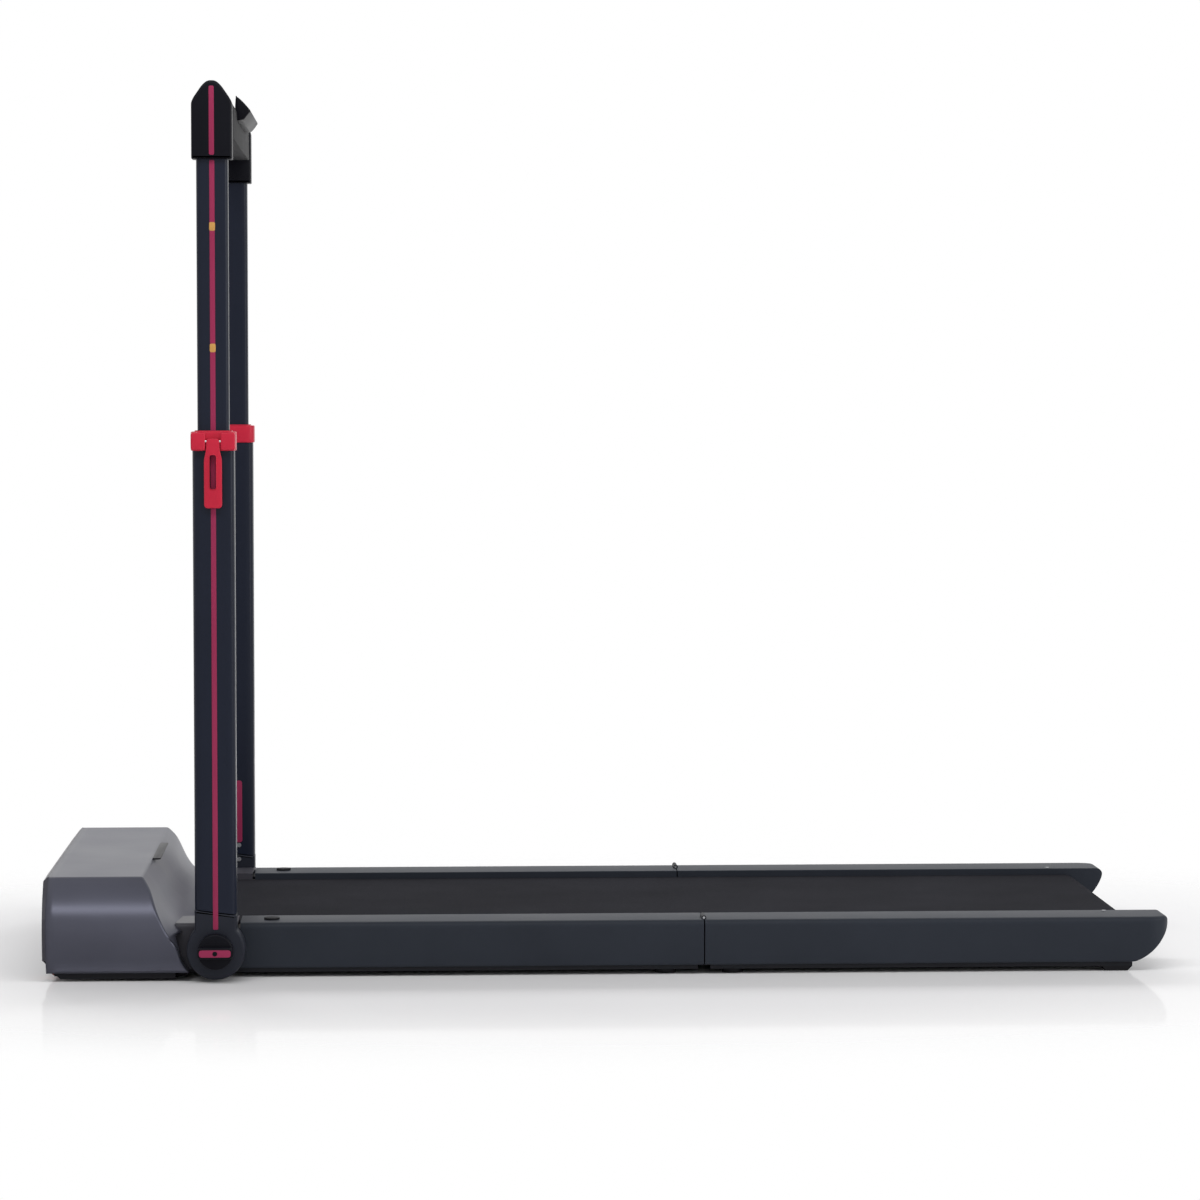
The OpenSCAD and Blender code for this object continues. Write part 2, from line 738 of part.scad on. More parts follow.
module front_feet() {
    color("#0c0c0d") both_sides() {
        translate([fold_foot_front, beam_mid, 0]) cylinder(r = foot_r, h = foot_h);
        translate([motor_x, beam_mid, 0]) cylinder(r = foot_r, h = pan_floor);
    }
}

module rear_feet() {
    color("#0c0c0d") both_sides() {
        translate([fold_foot_rear, beam_mid, 0]) cylinder(r = foot_r, h = foot_h);
        along_y(beam_in, beam_out) polygon([[tail_foot_x, foot_h], [tail_foot_x + 4, 0],
            [tail_foot_x + tail_foot_len - 6, 0], [tail_foot_x + tail_foot_len, foot_h]]);
    }
}

module rail_bumpers() {
    color("#1a1b1e") both_sides() translate([bumper_x, beam_mid - 10, rail_top]) cylinder(r = bumper_r, h = bumper_h);
}

// Half of the belt's loop round the roller at x, with both runs drawn to x1
module belt_loop(x, x1) {
    outer = loop_r + belt_t;
    low = min(x, x1);
    difference() {
        union() {
            bar_y(x, roller_z, outer, -belt_half, belt_half);
            span([low, -belt_half, roller_z - outer], [max(x, x1), belt_half, roller_z + outer]);
        }
        bar_y(x, roller_z, loop_r, -belt_half - over, belt_half + over);
        span([low - over * (x1 < x ? 1 : 0), -belt_half - over, roller_z - loop_r],
            [max(x, x1) + over * (x1 > x ? 1 : 0), belt_half + over, roller_z + loop_r]);
    }
}

module belt_front() { color("#17171a") belt_loop(drive_x, fold_x - fold_gap / 2); }

module belt_rear() { color("#17171a") belt_loop(rear_x, fold_x + fold_gap / 2); }

module wheel_axles() {
    reach = wheel_w / 2 + fork_gap + fork_t;
    color("#8d9096") both_sides() bar_y(wheel_x, wheel_z, wheel_pin_r, wheel_y - reach, wheel_y + reach);
}

module transport_wheel() {
    difference() {
        bar_y(wheel_x, wheel_z, wheel_r, wheel_y - wheel_w / 2, wheel_y + wheel_w / 2);
        bar_y(wheel_x, wheel_z, wheel_pin_r + run_fit, wheel_y - wheel_w, wheel_y + wheel_w);
        for (side = [-1, 1]) translate([0, side * (wheel_w / 2 - 3), 0]) difference() {
            bar_y(wheel_x, wheel_z, wheel_r - 5, wheel_y - 3 - run_fit, wheel_y + 3 + run_fit);
            bar_y(wheel_x, wheel_z, wheel_pin_r + 3, wheel_y - 4, wheel_y + 4);
        }
    }
}

module transport_wheel_right() { color("#8a4a40") transport_wheel(); }

module transport_wheel_left() { color("#8a4a40") mirror([0, 1, 0]) transport_wheel(); }

module rear_frame() {
    front_board = fold_x + fold_gap;
    rear_board = rear_x - board_end_gap;
    color("#1d1e22") {
        both_sides() beam(fold_x + beam_fold_gap, beam_rear);
        for (i = [0:2]) cross(front_board + cross_w + (rear_board - front_board - 1.6 * cross_w) * i / 2);
        both_sides() axle_plate(rear_x, axle_r);
        both_sides() difference() {
            span([rear_x + 10, beam_in - 26, roller_z - 9], [rear_x + 16, beam_in, roller_z + 9]);
            bar_x(beam_in - 14, roller_z, 4 + run_fit, rear_x, rear_x + 30);
        }
    }
}

module rear_running_board() {
    color("#3b3026") span([fold_x + fold_gap, -board_half, board_low],
        [rear_x - board_end_gap, board_half, board_top]);
}

module rear_axle() { color("#9a9da3") bar_y(rear_x, roller_z, axle_r, -beam_in, beam_in); }

module rear_roller() { color("#85888f") roller(rear_x, axle_r); }

module tension_bolts() {
    color("#8d9096") both_sides() {
        bar_x(beam_in - 14, roller_z, 4, rear_x + axle_r, rear_x + 26);
        bar_x(beam_in - 14, roller_z, 6.5, rear_x + 26, rear_x + 31);
    }
}

module rail_studs() {
    color("#9a9da3") both_sides() translate([tail_x - 77, inner_half + 9, rail_top]) cylinder(r = 3, h = 0.8);
}

// The groove that takes a flush strip on a tube's outer face
module strip_bar(y_out, z0, z1, grow) {
    span([pivot_x - strip_w / 2 - grow, y_out - strip_t - grow, z0], [pivot_x + strip_w / 2 + grow, y_out, z1]);
}

// A pill-ended bar on the post's inner face
module pill(grow) {
    r = pill_w / 2 + grow;
    y1 = post_in + strip_t + grow;
    span([pill_x - r, post_in - (grow > 0 ? over : 0), pill_low + pill_w / 2],
        [pill_x + r, y1, pill_high - pill_w / 2]);
    for (z = [pill_low + pill_w / 2, pill_high - pill_w / 2])
        bar_y(pill_x, z, r, post_in - (grow > 0 ? over : 0), y1);
}

module lower_tube() {
    difference() {
        translate([pivot_x, post_mid, 0]) linear_extrude(collar_low) difference() {
            rounded(low_tube_w, low_tube_t, tube_round);
            rounded(low_tube_w - 2 * tube_wall, low_tube_t - 2 * tube_wall, tube_round - tube_wall);
        }
        along_y(post_in - over, post_out + over) polygon([[pivot_x - low_tube_w, -over],
            [pivot_x - low_tube_w, seam_front + (seam_front - seam_rear) / 2],
            [pivot_x + low_tube_w, seam_rear - (seam_front - seam_rear) / 2], [pivot_x + low_tube_w, -over]]);
        strip_bar(post_out + run_fit, -over, far, run_fit);
        pill(run_fit);
        for (z = screw_levels) bar_y(pill_x, z, screw_r / 2 + run_fit, post_in - over, post_in + 8);
    }
}

module lower_tube_right() { color("#262a35") lower_tube(); }

module lower_tube_left() { color("#262a35") mirror([0, 1, 0]) lower_tube(); }

module post_feet() {
    color("#1b1d25") both_sides() difference() {
        union() {
            bar_y(pivot_x, pivot_z, eye_r, post_in, post_out);
            translate([pivot_x, post_mid, 0]) intersection() {
                translate([0, 0, pivot_z]) linear_extrude(seam_front) rounded(low_tube_w, low_tube_t, tube_round);
                along_y(-low_tube_t, low_tube_t) polygon([[-low_tube_w, 0],
                    [-low_tube_w, seam_front + (seam_front - seam_rear) / 2 - gap],
                    [low_tube_w, seam_rear - (seam_front - seam_rear) / 2 - gap], [low_tube_w, 0]]);
            }
            translate([pivot_x, post_mid, pivot_z]) linear_extrude(plug_top - pivot_z) rounded(
                low_tube_w - 2 * tube_wall - 2 * plug_fit, low_tube_t - 2 * tube_wall - 2 * plug_fit,
                tube_round - tube_wall - plug_fit);
        }
        bar_y(pivot_x, pivot_z, stud_r + run_fit, post_in - over, post_out + over);
        strip_bar(post_out + run_fit, strip_low - run_fit, far, run_fit);
        pill(gap);
        for (z = screw_levels) bar_y(pill_x, z, screw_r / 2 + run_fit, post_in - over, post_in + 8);
    }
}

module foot_screws() {
    color("#0c0c0d") both_sides() for (z = screw_levels) {
        bar_y(pill_x, z, screw_r, post_in - screw_h, post_in);
        bar_y(pill_x, z, screw_r / 2, post_in, post_in + 7);
    }
}

module lower_strips() {
    color("#a82a44") both_sides() {
        strip_bar(post_out, strip_low, collar_low, 0);
        pill(0);
    }
}

module clamp_collars() {
    color("#8e2030") both_sides() difference() {
        union() {
            translate([pivot_x, post_mid, collar_low]) linear_extrude(collar_h)
                rounded(collar_w, low_tube_t + 2 * collar_skin, tube_round);
            for (side = [-1, 1]) translate([pivot_x + side * (lever_top_w / 2 + over + 9), 0, 0])
                span([-9, post_out - 4, collar_low], [9, post_out + lobe_out, collar_top]);
        }
        translate([pivot_x, post_mid, collar_low - over]) linear_extrude(collar_h + 2 * over)
            rounded(up_tube_w + 8, up_tube_t + 4, tube_round - 2);
        bar_x(lever_pin_y, lever_pin_z, lever_pin_r + run_fit, pivot_x - 22, pivot_x + 22);
    }
}

// The bush lines the lower tube's mouth and fills the collar's hole round the upper tube
module slide_bushes() {
    color("#101114") both_sides() translate([pivot_x, post_mid, 0]) difference() {
        union() {
            translate([0, 0, collar_low - 60]) linear_extrude(60) rounded(low_tube_w - 2 * tube_wall - 2 * plug_fit,
                low_tube_t - 2 * tube_wall - 2 * plug_fit, tube_round - tube_wall - plug_fit);
            translate([0, 0, collar_low - over]) linear_extrude(collar_h + over) rounded(
                up_tube_w + 8 - 2 * plug_fit, up_tube_t + 4 - 2 * plug_fit, tube_round - 2 - plug_fit);
        }
        translate([0, 0, collar_low - 60 - over]) linear_extrude(far)
            rounded(up_tube_w + 2 * gap, up_tube_t + 2 * gap, tube_round - 2);
    }
}

module lever_pins() {
    color("#8d9096") both_sides() bar_x(lever_pin_y, lever_pin_z, lever_pin_r, pivot_x - 22, pivot_x + 22);
}

module clamp_lever() {
    y0 = lever_pin_y - lever_hub_r;
    y1 = y0 + lever_t;
    difference() {
        union() {
            bar_x(lever_pin_y, lever_pin_z, lever_hub_r, pivot_x - lever_top_w / 2, pivot_x + lever_top_w / 2);
            along_y(y0, y1) translate([pivot_x, lever_pin_z]) polygon([[-lever_top_w / 2, 0],
                [lever_top_w / 2, 0], [lever_top_w / 2, -12], [lever_low_w / 2, -20],
                [lever_low_w / 2, 3 - lever_len], [lever_low_w / 2 - 3, -lever_len],
                [3 - lever_low_w / 2, -lever_len], [-lever_low_w / 2, 3 - lever_len],
                [-lever_low_w / 2, -20], [-lever_top_w / 2, -12]]);
        }
        span([pivot_x - lever_slot_w / 2, y0 - over, lever_pin_z - lever_slot_top - lever_slot_len],
            [pivot_x + lever_slot_w / 2, y1 + over, lever_pin_z - lever_slot_top]);
        bar_x(lever_pin_y, lever_pin_z, lever_pin_r + run_fit, pivot_x - 22, pivot_x + 22);
    }
}

module clamp_lever_right() { color("#d33a4c") clamp_lever(); }

module clamp_lever_left() { color("#d33a4c") mirror([0, 1, 0]) clamp_lever(); }

module knob() {
    y0 = post_out + gap;
    y1 = overall_w / 2;
    difference() {
        union() {
            bar_y(pivot_x, pivot_z, knob_r, y0, y0 + 12);
            intersection() {
                bar_y(pivot_x, pivot_z, knob_r, y0, y1);
                span([pivot_x - knob_r, y0, pivot_z - 7], [pivot_x + knob_r, y1, pivot_z + 7]);
            }
        }
        bar_y(pivot_x, pivot_z, stud_r + run_fit, y0 - over, y1 - 8);
    }
}

module knob_right() { color("#2a2c33") knob(); }

module knob_left() { color("#2a2c33") mirror([0, 1, 0]) knob(); }

module upper_tubes() {
    color("#20242e") both_sides() difference() {
        translate([pivot_x, post_mid, up_low]) linear_extrude(up_high - up_low) difference() {
            rounded(up_tube_w, up_tube_t, tube_round - 2.5);
            rounded(up_tube_w - 2 * tube_wall, up_tube_t - 2 * tube_wall, tube_round - 2 - tube_wall);
        }
        strip_bar(post_mid + up_tube_t / 2 + run_fit, up_low - over, cap_low, run_fit);
    }
}

module upper_strips() {
    y_out = post_mid + up_tube_t / 2;
    color("#a82a44") both_sides() {
        difference() {
            strip_bar(y_out, up_low, cap_low, 0);
            for (z = mark_levels) span([pivot_x - mark_w, y_out - 0.3, z - mark_h / 2],
                [pivot_x + mark_w, y_out + over, z + mark_h / 2]);
        }
        strip_bar(cap_out, cap_low + 5, height - 6, 0);
    }
}

module height_marks() {
    y_out = post_mid + up_tube_t / 2;
    color("#c9a84e") both_sides() for (z = mark_levels) span([pivot_x - mark_w / 2, y_out - 0.3, z - mark_h / 2],
        [pivot_x + mark_w / 2, y_out, z + mark_h / 2]);
}

// A shoe round the foot of each upper tube, sliding in the lower tube
module tube_glides() {
    color("#101114") both_sides() translate([pivot_x, post_mid, up_low - 3]) difference() {
        linear_extrude(33) rounded(low_tube_w - 2 * tube_wall - 2 * gap, low_tube_t - 2 * tube_wall - 2 * gap,
            tube_round - tube_wall - gap);
        translate([0, 0, 3]) linear_extrude(33) rounded(up_tube_w + 2 * run_fit, up_tube_t + 2 * run_fit,
            tube_round - 2.5);
    }
}

// Gable outline of the elbow, centred on the pivot line, drawn in by an inset
module gable(inset, low) {
    polygon([[-cap_half + inset, low], [-cap_half + inset, shoulder_z - 6], [-cap_half + 2.5 + inset, shoulder_z],
        [-12, height - 6 - inset], [-5, height - inset], [5, height - inset], [12, height - 6 - inset],
        [cap_half - 2.5 - inset, shoulder_z], [cap_half - inset, shoulder_z - 6], [cap_half - inset, low]]);
}

module elbow_caps() {
    color("#111114") both_sides() difference() {
        intersection() {
            translate([pivot_x, 0, 0]) along_y(cap_in, cap_out) gable(0, cap_low);
            along_x(pivot_x - cap_half - over, pivot_x + cap_half + over) polygon([[cap_in - over, cap_low],
                [cap_in - over, height + over], [post_mid, height + over], [cap_out - 4, height - 4],
                [cap_out, height - 14], [cap_out, cap_low]]);
        }
        translate([pivot_x, post_mid, cap_low - over]) linear_extrude(up_high - cap_low + over)
            rounded(up_tube_w + 2 * run_fit, up_tube_t + 2 * run_fit, tube_round - 2.5);
        strip_bar(cap_out + run_fit, cap_low + 5 - run_fit, height - 6 + run_fit, run_fit);
    }
}

module crossbar() {
    color("#17171a") difference() {
        translate([pivot_x, 0, 0]) along_y(-cap_in, cap_in) gable(4, height - bar_drop);
        translate([pivot_x, 0, 0]) along_y(-cap_in + 3, cap_in - 3) gable(7, height - bar_drop + 3);
    }
}

module grip_cover() {
    color("#101013") difference() {
        translate([pivot_x, 0, 0]) along_y(-grip_half, grip_half) gable(1, height - bar_drop - 2);
        translate([pivot_x, 0, 0]) along_y(-grip_half - over, grip_half + over) gable(4, height - bar_drop);
        span([pivot_x, -holder_half - gap, height - 60], [pivot_x + far, holder_half + gap, height + over]);
    }
}

module phone_holder() {
    x0 = pivot_x + cap_half - 4;
    color("#1a1a1d") difference() {
        along_y(-holder_half, holder_half) polygon([[x0, height - 38], [x0, shoulder_z], [x0 + 1, height - 5],
            [x0 + 11, height - 14], [pivot_x + 42, height - 25], [pivot_x + 32.5, height - 37]]);
        along_y(4 - holder_half, holder_half - 4) polygon([[x0 + 3, height - 20], [x0 + 3, height],
            [x0 + 11, height], [x0 + 9, height - 20]]);
    }
}

base_pan();
hood_shell();
front_fascia();
display_window();
display_board();
motor_housing();
motor_bracket();
control_unit();
power_inlet();
power_rocker();
front_frame();
front_running_board();
front_rail_left();
front_rail_right();
rail_front_caps();
pivot_studs();
drive_axle();
drive_roller();
drive_belt();
motor_rotor();
front_hinge_leaves();
fold_pins();
front_feet();
rail_bumpers();
belt_front();
wheel_axles();
transport_wheel_left();
transport_wheel_right();
rear_frame();
rear_running_board();
rear_rail_left();
rear_rail_right();
rear_hinge_leaves();
rear_axle();
rear_roller();
tension_bolts();
rear_feet();
rail_studs();
belt_rear();
lower_tube_left();
lower_tube_right();
post_feet();
foot_screws();
clamp_collars();
slide_bushes();
lower_strips();
lever_pins();
clamp_lever_left();
clamp_lever_right();
knob_left();
knob_right();
upper_tubes();
upper_strips();
height_marks();
tube_glides();
elbow_caps();
crossbar();
grip_cover();
phone_holder();
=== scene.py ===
# %% [markdown]
# # A folding treadmill, dressed on its working frame
# The frame holds every part at its real size, on the body that carries it. This script keeps the
# inner parts as they are, gives each a finish, and draws the parts that show as smooth surfaces.
# Each surface is a grid of points worked out with numpy and handed to a mesh in one call.
# %% Load the frame
import json
import math
import bpy
import numpy as np
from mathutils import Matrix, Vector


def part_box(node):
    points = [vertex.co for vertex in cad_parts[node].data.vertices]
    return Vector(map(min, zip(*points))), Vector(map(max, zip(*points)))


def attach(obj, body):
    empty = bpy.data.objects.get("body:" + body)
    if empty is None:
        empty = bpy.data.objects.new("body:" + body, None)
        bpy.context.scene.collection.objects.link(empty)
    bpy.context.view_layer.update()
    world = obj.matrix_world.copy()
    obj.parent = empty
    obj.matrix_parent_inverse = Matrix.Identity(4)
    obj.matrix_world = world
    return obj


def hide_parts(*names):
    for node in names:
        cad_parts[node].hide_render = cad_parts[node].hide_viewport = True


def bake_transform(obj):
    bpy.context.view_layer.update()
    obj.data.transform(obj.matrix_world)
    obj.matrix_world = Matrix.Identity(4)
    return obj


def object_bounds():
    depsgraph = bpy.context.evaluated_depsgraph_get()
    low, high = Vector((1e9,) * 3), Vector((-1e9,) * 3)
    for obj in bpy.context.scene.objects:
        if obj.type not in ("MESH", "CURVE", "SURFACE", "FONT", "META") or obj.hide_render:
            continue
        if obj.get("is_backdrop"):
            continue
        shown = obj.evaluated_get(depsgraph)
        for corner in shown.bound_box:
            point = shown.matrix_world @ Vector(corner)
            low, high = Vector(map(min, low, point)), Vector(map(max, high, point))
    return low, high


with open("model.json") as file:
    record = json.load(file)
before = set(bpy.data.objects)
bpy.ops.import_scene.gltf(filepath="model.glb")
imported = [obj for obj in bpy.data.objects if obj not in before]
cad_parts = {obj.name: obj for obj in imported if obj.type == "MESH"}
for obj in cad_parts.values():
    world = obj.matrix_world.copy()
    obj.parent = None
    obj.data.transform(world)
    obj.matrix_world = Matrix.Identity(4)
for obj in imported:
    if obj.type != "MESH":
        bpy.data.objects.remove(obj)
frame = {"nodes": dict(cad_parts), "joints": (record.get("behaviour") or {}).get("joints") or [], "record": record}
cad_low, cad_high = (np.array(corner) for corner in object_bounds())
MM = 0.001
print("frame", cad_low.round(4), cad_high.round(4))

# %% [markdown]
# ## The camera and a plain studio
# The machine is seen from its left side, a little above, through a long lens. The picture is a
# narrow part of a square sensor, so the camera is turned and not shifted. The studio is a world
# that is bright round the horizon and dim overhead: dark glossy plastic shows a light edge only
# where something bright stands opposite it, so the dim ceiling keeps the shoulders of the hood
# dark, and one long lamp over the camera draws the pale band along its flank.
# %% Camera
CAMERA_AT = (-0.2637, -5.400, 0.7655)
LOOK = (0.04925, 1.0, -0.05572)
scene = bpy.context.scene
camera = bpy.data.objects.new("camera", bpy.data.cameras.new("camera"))
scene.collection.objects.link(camera)
camera.location = CAMERA_AT
camera.rotation_mode = "QUATERNION"
from mathutils import Vector
camera.rotation_quaternion = Vector(LOOK).to_track_quat("-Z", "Y")
camera.data.lens = 120.6
camera.data.sensor_width = 36.0
scene.camera = camera
scene.view_settings.view_transform = "Standard"

# %% World and lamps
HORIZON, CEILING = 0.50, 0.14


def node(tree, kind, **inputs):
    """Adds a shader node and sets the inputs that are named."""
    made = tree.nodes.new(kind)
    for name, value in inputs.items():
        made.inputs[name.replace("_", " ")].default_value = value
    return made


def ramp(tree, source, stops, interpolation="EASE"):
    """A colour ramp over source; stops are (place, grey or colour)."""
    made = tree.nodes.new("ShaderNodeValToRGB")
    made.color_ramp.interpolation = interpolation
    for spare in range(len(stops) - 2):
        made.color_ramp.elements.new(0.5)
    for element, (place, tone) in zip(made.color_ramp.elements, stops):
        element.position = place
        element.color = (*tone, 1.0) if hasattr(tone, "__len__") else (tone, tone, tone, 1.0)
    tree.links.new(source, made.inputs["Fac"])
    return made.outputs["Color"]


def make_world():
    world = bpy.data.worlds.new("studio")
    world.use_nodes = True
    tree = world.node_tree
    tree.nodes.clear()
    place = node(tree, "ShaderNodeTexCoord")
    parts = node(tree, "ShaderNodeSeparateXYZ")
    tree.links.new(place.outputs["Generated"], parts.inputs[0])
    soft = node(tree, "ShaderNodeBackground")
    tone = ramp(tree, parts.outputs["Z"], [(0.0, HORIZON), (0.35, HORIZON), (0.75, CEILING)])
    tree.links.new(tone, soft.inputs["Color"])
    white = node(tree, "ShaderNodeBackground")
    white.inputs["Color"].default_value = (1, 1, 1, 1)
    path = node(tree, "ShaderNodeLightPath")
    mix = node(tree, "ShaderNodeMixShader")
    out = node(tree, "ShaderNodeOutputWorld")
    seen = path.outputs["Is Camera Ray"]
    for ray in ("Is Glossy Ray", "Is Transmission Ray"):
        more = tree.nodes.new("ShaderNodeMath")
        more.operation = "MAXIMUM"
        tree.links.new(seen, more.inputs[0])
        tree.links.new(path.outputs[ray], more.inputs[1])
        seen = more.outputs[0]
    tree.links.new(seen, mix.inputs["Fac"])
    tree.links.new(soft.outputs[0], mix.inputs[1])
    tree.links.new(white.outputs[0], mix.inputs[2])
    tree.links.new(mix.outputs[0], out.inputs["Surface"])
    scene.world = world


def lamp(name, at, towards, size, watts):
    """A soft rectangular lamp at a point, facing another."""
    data = bpy.data.lights.new(name, "AREA")
    data.shape = "RECTANGLE"
    data.size, data.size_y = size
    data.energy = watts
    made = bpy.data.objects.new(name, data)
    scene.collection.objects.link(made)
    made.location = at
    made.rotation_mode = "QUATERNION"
    made.rotation_quaternion = (Vector(towards) - Vector(at)).to_track_quat("-Z", "Y")
    return made


make_world()
lamp("key", (-0.4, -2.1, 3.1), (0.0, 0.0, 0.2), (4.4, 0.9), 66)
lamp("side", (3.4, -1.6, 1.5), (-0.3, 0.0, 0.4), (1.6, 2.4), 50)
back = lamp("back", (-0.2, 3.4, 1.9), (0.0, 0.0, 0.1), (4.0, 0.9), 105)
back.visible_glossy = False

# %% [markdown]
# ## The floor
# A pale, slightly polished floor carries a soft shadow and a faint mirror image. Away from the
# machine the floor gives way to the white world, so no horizon shows.
# %% Floor
FLOOR_NEAR, FLOOR_FAR, FLOOR_SIZE = 1.1, 2.1, 9.0


def make_floor():
    half = FLOOR_SIZE / 2
    corners = [(-half, -half, 0), (half, -half, 0), (half, half, 0), (-half, half, 0)]
    mesh = bpy.data.meshes.new("floor")
    mesh.from_pydata(corners, [], [(0, 1, 2, 3)])
    floor = bpy.data.objects.new("floor", mesh)
    floor.location.z = -0.0003
    scene.collection.objects.link(floor)
    material = bpy.data.materials.new("pale_floor")
    material.use_nodes = True
    tree = material.node_tree
    tree.nodes.clear()
    matt = node(tree, "ShaderNodeBsdfDiffuse", Color=(0.93, 0.925, 0.935, 1))
    gloss = node(tree, "ShaderNodeBsdfGlossy", Roughness=0.06, Color=(1, 1, 1, 1))
    polish = node(tree, "ShaderNodeMixShader", Fac=0.16)
    tree.links.new(matt.outputs[0], polish.inputs[1])
    tree.links.new(gloss.outputs[0], polish.inputs[2])
    clear = node(tree, "ShaderNodeBsdfTransparent")
    place = node(tree, "ShaderNodeTexCoord")
    squeeze = node(tree, "ShaderNodeMapping", Scale=(0.8, 1.25, 1.0))
    reach = tree.nodes.new("ShaderNodeVectorMath")
    reach.operation = "LENGTH"
    tree.links.new(place.outputs["Object"], squeeze.inputs["Vector"])
    tree.links.new(squeeze.outputs[0], reach.inputs[0])
    edge = tree.nodes.new("ShaderNodeMapRange")
    edge.interpolation_type = "SMOOTHSTEP"
    edge.inputs["From Min"].default_value = FLOOR_NEAR * 0.55
    edge.inputs["From Max"].default_value = FLOOR_FAR * 0.62
    tree.links.new(reach.outputs["Value"], edge.inputs["Value"])
    path = node(tree, "ShaderNodeLightPath")
    seen = tree.nodes.new("ShaderNodeMath")
    seen.operation = "MULTIPLY"
    tree.links.new(edge.outputs[0], seen.inputs[0])
    tree.links.new(path.outputs["Is Camera Ray"], seen.inputs[1])
    mix = node(tree, "ShaderNodeMixShader")
    tree.links.new(seen.outputs[0], mix.inputs["Fac"])
    tree.links.new(polish.outputs[0], mix.inputs[1])
    tree.links.new(clear.outputs[0], mix.inputs[2])
    out = node(tree, "ShaderNodeOutputMaterial")
    tree.links.new(mix.outputs[0], out.inputs["Surface"])
    mesh.materials.append(material)
    floor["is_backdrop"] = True
    return floor


floor = make_floor()
print("floor", FLOOR_SIZE, "m")

# %% [markdown]
# ## Finishes
# Every finish is one Principled shader with procedural detail. A moulded skin has a fine grain that
# bends the light a little and a slow drift in tone; a painted one has orange peel; metal is brushed.
# Object coordinates are metres in the machine's own frame, so a grain of 0.4 mm is a scale of 2500.
# %% Finish maker
def finish(name, colour, rough, metal=0.0, coat=0.0, grain=0.0, grain_size=0.4, drift=0.1,
           rough_drift=0.06, stretch=(1, 1, 1), specular=0.14, sheen=0.0):
    """A Principled material: colour with a slow drift, roughness with its own, and a noise bump.
    grain is the bump's strength, grain_size its size in millimetres, stretch its scale by axis."""
    material = bpy.data.materials.new(name)
    material.use_nodes = True
    tree = material.node_tree
    tree.nodes.clear()
    out = node(tree, "ShaderNodeOutputMaterial")
    skin = node(tree, "ShaderNodeBsdfPrincipled")
    skin.inputs["Metallic"].default_value = metal
    skin.inputs["Coat Weight"].default_value = coat
    skin.inputs["Coat Roughness"].default_value = 0.12
    skin.inputs["Specular IOR Level"].default_value = specular
    skin.inputs["Sheen Weight"].default_value = sheen
    tree.links.new(skin.outputs[0], out.inputs["Surface"])
    place = node(tree, "ShaderNodeTexCoord")
    map_node = node(tree, "ShaderNodeMapping")
    map_node.inputs["Scale"].default_value = stretch
    tree.links.new(place.outputs["Object"], map_node.inputs["Vector"])
    slow = node(tree, "ShaderNodeTexNoise", Scale=7.0, Detail=3.0, Roughness=0.55)
    tree.links.new(place.outputs["Object"], slow.inputs["Vector"])
    low = [c * (1 - drift) for c in colour]
    high = [min(1.0, c * (1 + drift)) for c in colour]
    tone = ramp(tree, slow.outputs["Fac"], [(0.3, low), (0.7, high)], "LINEAR")
    tree.links.new(tone, skin.inputs["Base Color"])
    fine = node(tree, "ShaderNodeTexNoise", Scale=1000.0 / grain_size, Detail=2.0)
    tree.links.new(map_node.outputs[0], fine.inputs["Vector"])
    spread = tree.nodes.new("ShaderNodeMapRange")
    spread.inputs["To Min"].default_value = max(0.02, rough - rough_drift)
    spread.inputs["To Max"].default_value = min(1.0, rough + rough_drift)
    tree.links.new(slow.outputs["Fac"], spread.inputs["Value"])
    tree.links.new(spread.outputs[0], skin.inputs["Roughness"])
    if grain:
        bump = node(tree, "ShaderNodeBump", Strength=grain, Distance=0.0002)
        tree.links.new(fine.outputs["Fac"], bump.inputs["Height"])
        tree.links.new(bump.outputs[0], skin.inputs["Normal"])
    return material


